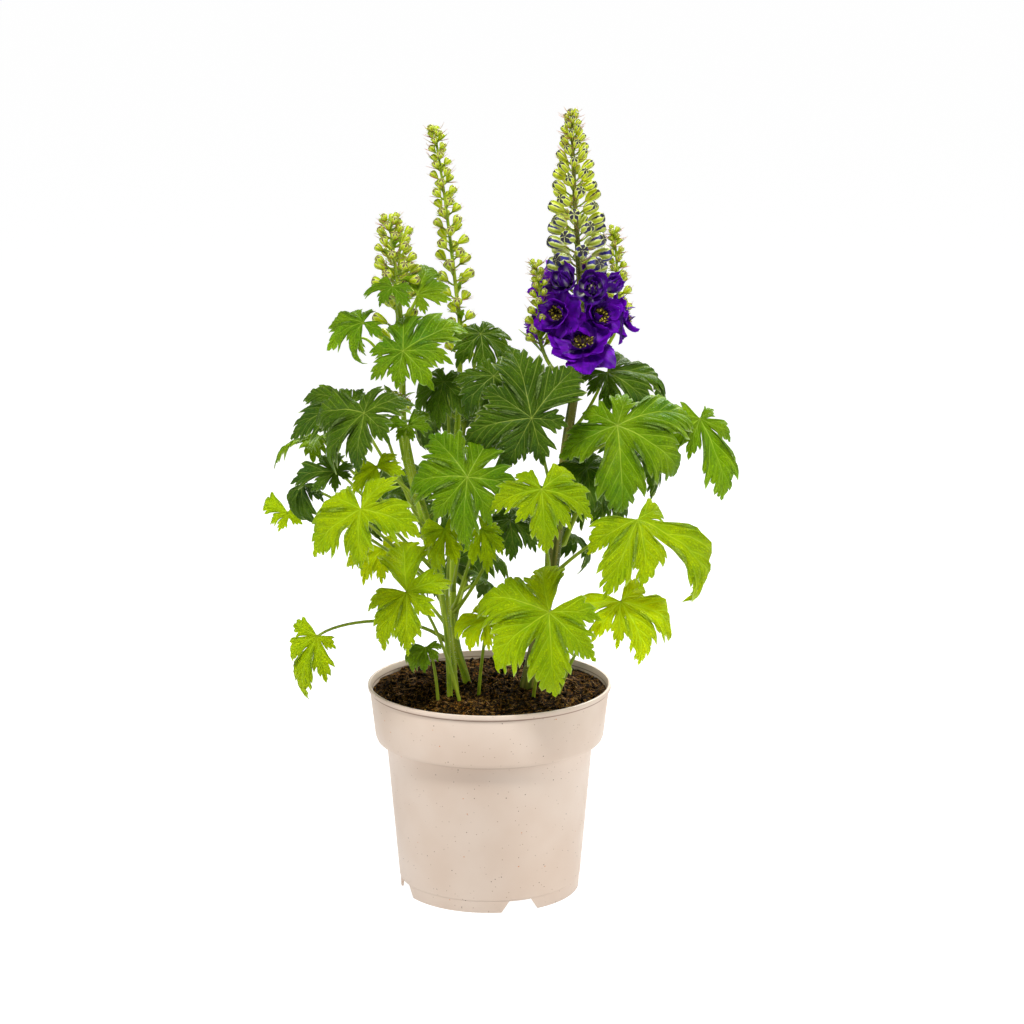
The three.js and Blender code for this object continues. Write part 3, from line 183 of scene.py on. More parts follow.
def leafMaterial(tone, under):
    # Delphinium leaf, grown: thin hairy blade, satin, in patches of two greens, with sunk veins 20 mm apart,
    # painted shade in the furrows beside them, and a net of fine ones of 2.2 mm. Light comes through it
    # yellow-green.
    colours = litAndShadedLeafTones[tone]
    material, tree = newMaterial("hairyLeaf%s%s" % (tone.capitalize(), "Underside" if under else "Face"))
    coordinates = node(tree, "TexCoord")
    place = coordinates.outputs["Object"]
    uv = node(tree, "SeparateXYZ", {0: coordinates.outputs["UV"]})
    across, along = uv.outputs[0], uv.outputs[1]
    offVein = node(tree, "Math", {0: along, 1: 0.5}, operation="PINGPONG")
    fourths = node(tree, "Math", {0: along, 1: 4}, operation="MULTIPLY")
    offLesser = node(tree, "Math", {0: fourths, 1: 0.5}, operation="PINGPONG")
    net = node(tree, "TexVoronoi", {"Vector": place, "Scale": 1000 / veins["fine"]},
               feature="DISTANCE_TO_EDGE")
    bands = ((across, *veins["rib"], 1), (offVein, *veins["side"], 0.7), (across, *veins["paintedShadeBesideRib"], 0.8),
             (offVein, *veins["paintedShadeBesideSide"], 0.7), (offLesser, 0, veins["lesser"], 0.5),
             (net, 0, veins["lesser"], 0.6))
    near = [node(tree, "MapRange", {0: source, 1: low, 2: high, 3: most, 4: 0}, **smooth)
            for source, low, high, most in bands]
    main = node(tree, "Math", {0: near[0], 1: near[1]}, operation="MAXIMUM")
    # The dark beside the ribs and side veins is painted shade in their furrows; the net is the leaf's own
    # fine veins.
    beside = node(tree, "Math", {0: near[2], 1: near[3]}, operation="MAXIMUM")
    minor = node(tree, "Math", {0: near[4], 1: near[5]}, operation="MAXIMUM")
    darker = node(tree, "Math", {0: beside, 1: minor}, operation="MAXIMUM")

    leafNumber = node(tree, "Math", {0: along, 1: veins["perLeaf"]}, operation="DIVIDE")
    leafNumber = node(tree, "Math", {0: leafNumber}, operation="FLOOR")
    own = node(tree, "TexWhiteNoise", {"W": leafNumber}, noise_dimensions="1D")
    shade = node(tree, "Mix", {0: mottle["own"], 2: patches(tree, place, mottle["shade"]), 3: own.outputs[0]})
    colour = node(tree, "Mix", {0: shade, 6: colours["face"], 7: colours["other"]}, **blend)
    if under:
        colour = node(tree, "Mix", {0: 0.7, 6: colour, 7: colours["under"]}, **blend)
    # The pale margin: partly the fine hairs along the edge, partly painted rim light.
    rim = node(tree, "MapRange", {0: across, 1: 0.93, 2: 1}, **smooth)
    for mask, strength, tint in ((patches(tree, place, mottle["cool"], 0.5, 0.72), 0.7, colours["cool"]),
                                 (patches(tree, place, mottle["deep"], 0.42, 0.66), 0.4, colours["deep"]),
                                 (darker, 0.55, colours["deep"]), (main, 0.75, colours["vein"]),
                                 (rim, 0.55, "#d9e2b4")):
        strength = node(tree, "Math", {0: mask, 1: strength}, operation="MULTIPLY")
        colour = node(tree, "Mix", {0: strength, 6: colour, 7: tint}, **blend)
    # The light through is dimmed beside the veins too: painted shade.
    shadow = node(tree, "Math", {0: darker, 1: 0.5}, operation="MULTIPLY")
    lit = node(tree, "Mix", {0: shadow, 6: colours["lit"], 7: colours["face"]}, **blend)

    quilt = node(tree, "TexNoise", {
        "Vector": place, "Scale": 1000 / veins["quilt"], "Detail": 5, "Roughness": 0.6})
    height = node(tree, "Math", {0: quilt, 1: darker}, operation="SUBTRACT")
    relief = node(tree, "Bump", {"Strength": 1.0, "Distance": veins["depth"], "Height": height})
    gloss = node(tree, "MapRange", {0: patches(tree, place, mottle["gloss"], 0.3, 0.7), 3: 0.42, 4: 0.6})
    skin = node(tree, "BsdfPrincipled", {
        "Base Color": colour, "Roughness": gloss, "IOR": 1.42, "Specular IOR Level": 0.2, "Normal": relief})
    thin(tree, skin, lit, colours["through"], relief)
    return material


def tissueMaterial(name, first, second, size, roughness, through, share, grain=0):
    # Two shades in patches of a real size in mm, or in streaks along a rod where grain is given.
    material, tree = newMaterial(name)
    coordinates = node(tree, "TexCoord")
    place = coordinates.outputs["Object"]
    if grain:
        place = node(tree, "Mapping", {0: coordinates.outputs["UV"], "Scale": (size * 0.007, 0.1 * grain, 1)})
    colour = node(tree, "Mix", {0: patches(tree, place, size), 6: first, 7: second}, **blend)
    fine = node(tree, "TexNoise", {"Vector": place, "Scale": 4000 / size, "Detail": 3})
    relief = node(tree, "Bump", {"Strength": 0.6, "Distance": 0.0003, "Height": fine})
    skin = node(tree, "BsdfPrincipled", {"Base Color": colour, "Roughness": roughness, "IOR": 1.42,
                                         "Specular IOR Level": 0.3, "Normal": relief})
    thin(tree, skin, through, share, relief)
    return material


# Buds: their greens, margins and tips, low for the lowest of a spike, and the widths of the dark line down a
# seam, for a high bud and a low one, and of the star at the tip.
budLook = {
    "violet": dict(base="#92a814", side="#d6de2c", band="#f0f4b8", edge="#3a3a3e", tip="#302c34",
                   low="#423ca0", lowSide="#e0e8b4", through="#f0f43c", line=(0.065, 0.17),
                   star=(0.8, 0.98, 0.3)),
    "green": dict(base="#90a80e", side="#c8d41c", band="#f0f0a4", edge="#6e7e24", tip="#6e5a40",
                  low="#6e7e24", lowSide="#c8d41c", through="#e6f000", line=(0.022, 0.03),
                  star=(0.76, 0.98, 0.28)),
}
violetZone = (0.495, 0.55)  # heights between which the buds lose their violet margins


def budMaterial(kind):
    # Delphinium bud, grown: five waxy sepals folded over each other, yellow-green with paler flanks. Their
    # thin dark margins run down the seams and meet in a star at the tip. On the lowest buds they are broad
    # and violet.
    look = budLook[kind]
    material, tree = newMaterial("waxyBud" + kind.capitalize())
    coordinates = node(tree, "TexCoord")
    place = coordinates.outputs["Object"]
    uv = node(tree, "SeparateXYZ", {0: coordinates.outputs["UV"]})
    height = node(tree, "SeparateXYZ", {0: place}).outputs[2]
    low = node(tree, "MapRange", {0: height, 1: violetZone[0], 2: violetZone[1], 3: 1, 4: 0}, **smooth)
    wobble = node(tree, "TexNoise", {"Vector": place, "Scale": 700, "Detail": 2})
    wobble = node(tree, "MapRange", {0: wobble, 1: 0.3, 2: 0.7, 3: -0.035, 4: 0.035})
    seam = node(tree, "Math", {0: uv.outputs[0], 1: 0.5}, operation="PINGPONG")
    seam = node(tree, "Math", {0: seam, 1: wobble}, operation="ADD")
    line = node(tree, "MapRange", {0: low, 3: look["line"][0], 4: look["line"][1]})
    starFoot, starTip, most = look["star"]
    star = node(tree, "MapRange", {0: uv.outputs[1], 1: starFoot, 2: starTip, 3: 0, 4: most}, **smooth)
    width = node(tree, "Math", {0: line, 1: star}, operation="ADD")
    inside = node(tree, "Math", {0: seam, 1: width}, operation="SUBTRACT")
    margin = node(tree, "MapRange", {0: inside, 1: -0.02, 2: 0.035, 3: 1, 4: 0}, **smooth)
    upper = node(tree, "MapRange", {0: uv.outputs[1], 1: 0.15, 2: 0.5}, **smooth)
    margin = node(tree, "Math", {0: margin, 1: upper}, operation="MULTIPLY")
    band = node(tree, "MapRange", {0: inside, 1: 0.02, 2: 0.16, 3: 0.85, 4: 0}, **smooth)
    band = node(tree, "Math", {0: band, 1: upper}, operation="MULTIPLY")
    middle = node(tree, "MapRange", {0: seam, 1: 0.2, 2: 0.5}, **smooth)
    flank = node(tree, "Mix", {0: low, 6: look["side"], 7: look["lowSide"]}, **blend)
    colour = node(tree, "Mix", {0: middle, 6: flank, 7: look["base"]}, **blend)
    colour = node(tree, "Mix", {0: band, 6: colour, 7: look["band"]}, **blend)
    dark = node(tree, "Mix", {0: low, 6: look["edge"], 7: look["low"]}, **blend)
    atTip = node(tree, "MapRange", {0: uv.outputs[1], 1: 0.82, 2: 0.97}, **smooth)
    dark = node(tree, "Mix", {0: atTip, 6: dark, 7: look["tip"]}, **blend)
    colour = node(tree, "Mix", {0: margin, 6: colour, 7: dark}, **blend)
    lit = node(tree, "Mix", {0: margin, 6: look["through"], 7: dark}, **blend)
    fine = node(tree, "TexNoise", {"Vector": place, "Scale": 900, "Detail": 3})
    relief = node(tree, "Bump", {"Strength": 0.5, "Distance": 0.0003, "Height": fine})
    skin = node(tree, "BsdfPrincipled", {
        "Base Color": colour, "Roughness": 0.38, "IOR": 1.45, "Specular IOR Level": 0.5, "Normal": relief})
    thin(tree, skin, lit, 0.42, relief)
    return material


def petalMaterial(name, deep, light, through, share, pale=0.0):
    # Delphinium petal, grown: thin velvety tissue, violet, with a dark claw (its own colour and painted shade
    # at the base) and veins 3 mm apart from there to its edge, and a greenish stripe down the middle of a
    # half-open one.
    material, tree = newMaterial(name)
    coordinates = node(tree, "TexCoord")
    uv = node(tree, "SeparateXYZ", {0: coordinates.outputs["UV"]})
    across = node(tree, "Math", {0: uv.outputs[0], 1: 9}, operation="MULTIPLY")
    along = node(tree, "Math", {0: uv.outputs[1], 1: 1.4}, operation="MULTIPLY")
    drawn = node(tree, "CombineXYZ", {0: across, 1: along})
    streak = node(tree, "TexNoise", {"Vector": drawn, "Scale": 1.6, "Detail": 4})
    cloud = patches(tree, coordinates.outputs["Object"], 9)
    colour = node(tree, "Mix", {0: cloud, 6: deep, 7: light}, **blend)
    dark = node(tree, "MapRange", {0: streak, 1: 0.48, 2: 0.68, 3: 0, 4: 0.6}, **smooth)
    # The claw is darker: partly its own colour, partly painted shade where the petals crowd at the base.
    claw = node(tree, "MapRange", {0: uv.outputs[1], 1: 0.2, 2: 0.7, 3: 0.8, 4: 0}, **smooth)
    dark = node(tree, "Math", {0: dark, 1: claw}, operation="MAXIMUM")
    colour = node(tree, "Mix", {0: dark, 6: colour, 7: "#22023c"}, **blend)
    if pale:
        off = node(tree, "Math", {0: uv.outputs[0], 1: 0.5}, operation="SUBTRACT")
        off = node(tree, "Math", {0: off}, operation="ABSOLUTE")
        stripe = node(tree, "MapRange", {0: off, 1: 0.06, 2: 0.24, 3: pale, 4: 0}, **smooth)
        claw = node(tree, "MapRange", {0: uv.outputs[1], 1: 0.3, 2: 0.85, 3: 1, 4: 0}, **smooth)
        stripe = node(tree, "Math", {0: stripe, 1: claw}, operation="MULTIPLY")
        colour = node(tree, "Mix", {0: stripe, 6: colour, 7: "#dde4b8"}, **blend)
    relief = node(tree, "Bump", {"Strength": 0.7, "Distance": 0.0005, "Height": streak})
    skin = node(tree, "BsdfPrincipled", {
        "Base Color": colour, "Roughness": 0.5, "IOR": 1.4, "Specular IOR Level": 0.25, "Normal": relief})
    thin(tree, skin, through, share, relief)
    return material


# Heights of the thin painted shadow lines under the lip and under the collar's step, and their colour.
paintedShadeLines = {"collar": (0.1185, 0.1225), "lip": (0.1598, 0.1612), "colour": "#6f5646"}  # heights of its lines
# Specks: how far apart in mm, how big as a share of that, and their colour.
specks = ((4.5, 0.1, "#8a6f5c"), (7.5, 0.075, "#4f4038"), (12, 0.055, "#b8672c"))


def potMaterial():
    # Polypropylene with recycled content, injection moulded: matt beige with dark and rusty specks a third of
    # a mm across, and a thin painted shadow line under the lip and where the collar steps in.
    material, tree = newMaterial("mouldedPolypropylene")
    place = node(tree, "TexCoord").outputs["Object"]
    height = node(tree, "SeparateXYZ", {0: place}).outputs[2]
    cloud = patches(tree, place, 60, 0.3, 0.7)
    colour = node(tree, "Mix", {0: cloud, 6: "#cbbaab", 7: "#c4b09f"}, **blend)
    for size, reach, shade in specks:
        speck = node(tree, "TexVoronoi", {"Vector": place, "Scale": 1000 / size})
        spot = node(tree, "MapRange", {0: speck, 1: reach * 0.6, 2: reach, 3: 0.85, 4: 0}, **smooth)
        colour = node(tree, "Mix", {0: spot, 6: colour, 7: shade}, **blend)
    # Painted shadow: a thin darker line under the lip and under the collar's step.
    for (low, high), strength in ((paintedShadeLines["collar"], 0.75), (paintedShadeLines["lip"], 0.85)):
        rise = node(tree, "MapRange", {0: height, 1: low, 2: (low + high) / 2}, **smooth)
        drop = node(tree, "MapRange", {0: height, 1: (low + high) / 2, 2: high, 3: strength, 4: 0}, **smooth)
        line = node(tree, "Math", {0: rise, 1: drop}, operation="MULTIPLY")
        colour = node(tree, "Mix", {0: line, 6: colour, 7: paintedShadeLines["colour"]}, **blend)
    grain = node(tree, "TexNoise", {"Vector": place, "Scale": 1400, "Detail": 3})
    relief = node(tree, "Bump", {"Strength": 0.25, "Distance": 0.0001, "Height": grain})
    gloss = node(tree, "MapRange", {0: cloud, 3: 0.46, 4: 0.58})
    skin = node(tree, "BsdfPrincipled", {
        "Base Color": colour, "Roughness": gloss, "IOR": 1.49, "Specular IOR Level": 0.4, "Normal": relief})
    node(tree, "OutputMaterial", {"Surface": skin})
    return material


def compostMaterial():
    # Peat compost, milled: dark brown crumb of 4 mm and fibre, matt, with reddish and straw-coloured bits.
    material, tree = newMaterial("milledPeatCompost")
    place = node(tree, "TexCoord").outputs["Object"]
    crumb = node(tree, "TexNoise", {"Vector": place, "Scale": 420, "Detail": 5, "Roughness": 0.75})
    light = node(tree, "MapRange", {0: crumb, 1: 0.48, 2: 0.68}, **smooth)
    colour = node(tree, "Mix", {0: light, 6: "#0a0502", 7: "#926a2a"}, **blend)
    for size, low, shade in ((3, 0.62, "#90581f"), (2, 0.66, "#c09c50")):
        bits = patches(tree, place, size, low, low + 0.07)
        colour = node(tree, "Mix", {0: bits, 6: colour, 7: shade}, **blend)
    relief = node(tree, "Bump", {"Strength": 1.0, "Distance": 0.004, "Height": crumb})
    skin = node(tree, "BsdfPrincipled", {
        "Base Color": colour, "Roughness": 0.95, "Specular IOR Level": 0.05, "Normal": relief})
    node(tree, "OutputMaterial", {"Surface": skin})
    return material


upperFace = {tone: leafMaterial(tone, False) for tone in litAndShadedLeafTones}
underFace = {tone: leafMaterial(tone, True) for tone in litAndShadedLeafTones}
# Each with its two shades, patch size in mm, roughness, and the colour and share of light through it.
# Leaf margin, grown: a thin pale rim of fine hairs, partly painted rim light, that lights up from behind.
leafRim = tissueMaterial("leafMargin", "#c3cf86", "#a9bb66", 8, 0.5, "#d8ea70", 0.4)
# Stalk and stem, grown: juicy and satin, with yellower streaks along it. An older one is browner and lets
# hardly any light through.
stalkSkin = tissueMaterial("leafStalk", "#6c861a", "#a8b834", 2.5, 0.42, "#c2d428", 0.25, grain=0.08)
stemSkin = tissueMaterial("greenStem", "#6c8a16", "#aebe34", 2.5, 0.42, "#cfe02c", 0.28, grain=0.08)
thickSkin = tissueMaterial("olderStem", "#465212", "#807a34", 2.5, 0.45, "#a8b030", 0.06, grain=0.06)
# Stem hair, grown: white and silky, drawn coarser than the real one so that it shows.
hairSkin = tissueMaterial("stemHair", "#dfe4c4", "#f0eedc", 6, 0.6, "#ffffff", 0.4)
# Bract, grown and dried: papery and dull, from buff to olive.
bractSkin = tissueMaterial("driedBract", "#b98464", "#8f8a48", 6, 0.55, "#dca078", 0.35)
violetBud, greenBud = budMaterial("violet"), budMaterial("green")
outerPetal = petalMaterial("velvetyPetal", "#42037c", "#720ab4", "#bc1cf4", 0.34)
# The inner whorl is a darker copy of the petal: painted shade inside the cup.
shadedInnerPetal = petalMaterial("velvetyInnerPetal", "#2c025a", "#54088c", "#a018dc", 0.28)
youngPetal = petalMaterial("openingPetal", "#3a0672", "#5e1c9c", "#a83ce0", 0.3, 0.95)
# Petal spur, grown: thin petal tissue drawn out to a tube, satin, violet that turns green.
spurSkin = tissueMaterial("petalSpur", "#43308a", "#6d7a4a", 6, 0.5, "#8a5ad0", 0.25)
# Eye petals, grown: dark brown and matt under short hairs, or cream and soft.
beeSkin = tissueMaterial("hairyEyePetal", "#1e120c", "#4a3a1c", 2, 0.7, "#6a5a20", 0.1)
creamSkin = tissueMaterial("creamEyePetal", "#dccb98", "#f2e8c8", 3, 0.55, "#fff2c8", 0.35)
# Anther, grown: pollen sacs, olive-yellow and dusty.
antherSkin = tissueMaterial("anther", "#8a7a1c", "#cfc040", 1.5, 0.6, "#d8d040", 0.2)
potSkin = potMaterial()
soilSkin = compostMaterial()
# Root fibre, grown and dried: dull, from brown to straw.
fibreSkin = tissueMaterial("rootFibre", "#6b4528", "#b08a58", 6, 0.8, "#b08a58", 0.05)
print("stage: materials")

# Shaping helpers

def join(bm, part):
    # A small mesh is shaped on its own and then added, which keeps each step quick.
    mesh = bpy.data.meshes.new("part")
    part.to_mesh(mesh)
    part.free()
    bm.from_mesh(mesh)
    bpy.data.meshes.remove(mesh)


def patch(bm, columns, rows, place, mapping, skin=0):
    # A grid whose corners go where place says, for shares across and along it; mapping gives their UV.
    part = bmesh.new()
    layer = part.loops.layers.uv.new("UVMap")
    bmesh.ops.create_grid(part, x_segments=columns, y_segments=rows, size=1)
    spots = {v: ((v.co.x + 1) / 2, (v.co.y + 1) / 2) for v in part.verts}
    for face in part.faces:
        face.material_index = skin
        face.smooth = True
        for loop in face.loops:
            loop[layer].uv = mapping(*spots[loop.vert])
    for v, (across, along) in spots.items():
        v.co = place(across, along)
    bmesh.ops.remove_doubles(part, verts=part.verts[:], dist=0.001)
    join(bm, part)


def applied(thing, sharpOver):
    # The object's mesh with its modifiers, shaded sharp at edges over an angle.
    bm = bmesh.new()
    bm.from_mesh(thing.evaluated_get(bpy.context.evaluated_depsgraph_get()).to_mesh())
    for edge in bm.edges:
        edge.smooth = edge.calc_face_angle(0) < math.radians(sharpOver)
    return bm


def thickened(sheets, thickness, materials, back=0, rim=0):
    # The sheets as closed blades: the thickness lies behind them, and back and rim shift their material.
    thing = meshObject("sheets", sheets, materials)
    mesh = thing.data
    shell = thing.modifiers.new("thickness", "SOLIDIFY")
    shell.thickness, shell.offset = thickness, -1
    shell.material_offset, shell.material_offset_rim = back, rim
    bm = applied(thing, 55)
    bpy.data.objects.remove(thing)
    bpy.data.meshes.remove(mesh)
    return bm


def tube(bm, path, radii, sides, skin=0, ribs=0.0):
    # A rod round a path, closed at both ends, its frame carried along without a twist.
    last = len(path) - 1
    tangents = [(path[min(i + 1, last)] - path[max(i - 1, 0)]).normalized() for i in range(last + 1)]
    side = tangents[0].orthogonal().normalized()
    rings = []
    for at, tangent, radius in zip(path, tangents, radii):
        side = (side - tangent * side.dot(tangent)).normalized()
        rings.append((at, side, tangent.cross(side), radius))
    rings = [(*rings[0][:3], 0)] + rings + [(*rings[-1][:3], 0)]

    def place(across, along):
        at, a, b, radius = rings[round(along * (last + 2))]
        angle = 2 * math.pi * across
        radius *= 1 + ribs * math.cos(5 * angle)
        return at + (a * math.cos(angle) + b * math.sin(angle)) * radius

    length = (path[-1] - path[0]).length
    patch(bm, sides, last + 2, place, lambda across, along: (across, along * length / 100), skin)


def addPiece(bm, name, materials, cadNode):
    bmesh.ops.transform(bm, matrix=intoFrame, verts=bm.verts[:])
    piece = meshObject(name, bm, materials)
    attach(piece, "root")
    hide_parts(cadNode)


def curveAt(points, t):
    # A place along a curve of two, three or four control points.
    level = list(points)
    while len(level) > 1:
        level = [a.lerp(b, t) for a, b in zip(level, level[1:])]
    return level[0]


def bezier(points, steps):
    return [curveAt(points, i / steps) for i in range(steps + 1)]


def flat(angle):
    return Vector((math.cos(angle), math.sin(angle), 0))


def lerp(pair, share):
    return pair[0] + (pair[1] - pair[0]) * share


def facing(azimuth, height):
    # The way a leaf or flower faces, straight down its slope, and to its right seen from its front.
    a, e = math.radians(azimuth), math.radians(height)
    normal = Vector((math.sin(a) * math.cos(e), -math.cos(a) * math.cos(e), math.sin(e)))
    down = Vector((math.sin(a) * math.sin(e), -math.cos(a) * math.sin(e), -math.cos(e)))
    return normal, down, normal.cross(down)


# Stems

stems = {
    "main": dict(points=[(28, -10, 150), (29, -10, 163), (45, -10, 237), (51, -5, 272), (59, 0, 350),
        (67, 0, 404), (71, 0, 431), (68, 0, 495), (65, 0, 541), (62, 0, 610)], radii=(6.2, 1.1)),
    "sideLeft": dict(points=[(67, -2, 400), (51, -12, 412), (42, -17, 427), (37.5, -20, 447),
        (38.5, -20, 470), (35.5, -20, 497)], radii=(1.8, 0.8)),
    "sideRight": dict(points=[(70, 3, 405), (84, 14, 420), (98, 23, 442), (98, 24, 487), (95, 24, 517)],
        radii=(1.8, 0.8)),
    "middle": dict(points=[(-17, 0, 150), (-18, 0, 166), (-28, 0, 216), (-26, 0, 326), (-23, 5, 393),
        (-22, 10, 441), (-25, 10, 472), (-33, 10, 540), (-41, 10, 595)], radii=(3.6, 0.8)),
    "left": dict(points=[(-25, -18, 150), (-27, -18, 169), (-36, -17, 235), (-49, -18, 286),
        (-63, -20, 354), (-65, -20, 430), (-67, -20, 468), (-71, -20, 503), (-74, -20, 530)],
        radii=(3.4, 0.9)),
    "backLeft": dict(points=[(-29, 14, 150), (-30, 16, 200), (-42, 18, 265), (-60, 18, 335),
        (-67, 15, 386), (-70, 15, 454), (-67, 15, 516)], radii=(3.6, 0.9)),
    "young": dict(points=[(-30, -36, 150), (-31, -37, 190), (-36, -38, 245), (-52, -41, 310),
        (-64, -45, 354), (-70, -54, 402)], radii=(2.4, 1.3)),
}


def stemPoint(name, t):
    points = stems[name]["points"]
    place = t * (len(points) - 1)
    i = min(int(place), len(points) - 2)
    here, there = Vector(points[i]), Vector(points[i + 1])
    before = Vector(points[i - 1]) if i else here * 2 - there
    after = Vector(points[i + 2]) if i + 2 < len(points) else there * 2 - here
    return curveAt([here, here + (there - before) / 6, there - (after - here) / 6, there], place - i)


def stemAt(name, z):
    low, high = 0.0, 1.0
    for _ in range(24):
        middle = (low + high) / 2
        if stemPoint(name, middle).z < z:
            low = middle
        else:
            high = middle
    return stemPoint(name, low), lerp(stems[name]["radii"], low)


stemLook = {"sides": 14, "thickSides": 16, "step": 7, "ribs": 0.05, "hairs": 0.55, "hairLength": 1.3,
            "hairSunk": 0.2, "hairRadii": (0.09, 0.03), "flowerStalk": 1.2, "flowerBack": 4.5,
            "flowerBend": 4}


def addStem(bm, name, skin, sides, hairSkinIndex, rng):
    points = stems[name]["points"]
    length = sum((Vector(a) - Vector(b)).length for a, b in zip(points, points[1:]))
    steps = int(length / stemLook["step"])
    path = [stemPoint(name, i / steps) for i in range(steps + 1)]
    radii = [lerp(stems[name]["radii"], i / steps) for i in range(steps + 1)]
    tube(bm, path, radii, sides, skin, stemLook["ribs"])
    for _ in range(int(length * stemLook["hairs"] * stems[name]["radii"][0])):
        t = rng.random()
        at, angle = stemPoint(name, t), rng.uniform(0, 2 * math.pi)
        out = Vector((math.cos(angle), math.sin(angle), rng.uniform(-0.5, 0.1))).normalized()
        radius = lerp(stems[name]["radii"], t) - stemLook["hairSunk"]
        reach = stemLook["hairLength"] * rng.uniform(0.6, 1.2)
        tube(bm, [at + out * radius, at + out * (radius + reach)], stemLook["hairRadii"], 3, hairSkinIndex)


# Leaves

# Sizes in mm and bends in radians; fold, quilt, droop and the like are shares of a lobe's length.
blade = {"sag": 0.8, "mostBend": 1.9, "ripple": 0.05, "fold": (0.12, 0.32), "quilt": 0.18, "thickness": 0.4,
         "wave": 3, "waveLength": 17, "twist": 0.22, "tipDroop": (0.06, 0.3), "sickle": 0.22, "curl": 0.5,
         "front": -136.1}  # no blade reaches further forward
lobe = {"widest": 25, "mostHalf": 28, "share": 0.44, "reach": 0.7, "sinus": 0.31, "openSide": 1.2,
        "wideGap": 82, "columns": 6, "between": 2, "jitter": 0.1, "bow": 0.03, "short": 44}
stalk = {"foot": 1.5, "top": 0.95, "collar": 1.4, "sheath": (1.7, 1.2), "flare": 1.3, "sides": 9, "steps": 16,
         "ribs": 0.04}
# Half a lobe's edge, from the sinus to the tip: share along, share of the half width, where its vein leaves
# the rib, and the count of veins so far. Whole counts are teeth.
longEdge = [(0.45, 0.66, 0.05, 0.5), (0.56, 0.93, 0.10, 1), (0.55, 0.78, 0.17, 1.5), (0.73, 1.0, 0.23, 2),
            (0.62, 0.55, 0.36, 2.5), (0.73, 0.61, 0.44, 3), (0.72, 0.46, 0.50, 3.5), (0.86, 0.54, 0.56, 4),
            (0.80, 0.30, 0.68, 4.5), (0.92, 0.23, 0.78, 5), (0.90, 0.12, 0.86, 5.5), (1, 0, 1, 6)]
shortEdge = [(0.48, 0.72, 0.06, 0.5), (0.70, 1.0, 0.20, 1), (0.62, 0.56, 0.34, 1.5), (0.84, 0.50, 0.48, 2),
             (0.80, 0.26, 0.66, 2.5), (1, 0, 1, 3)]

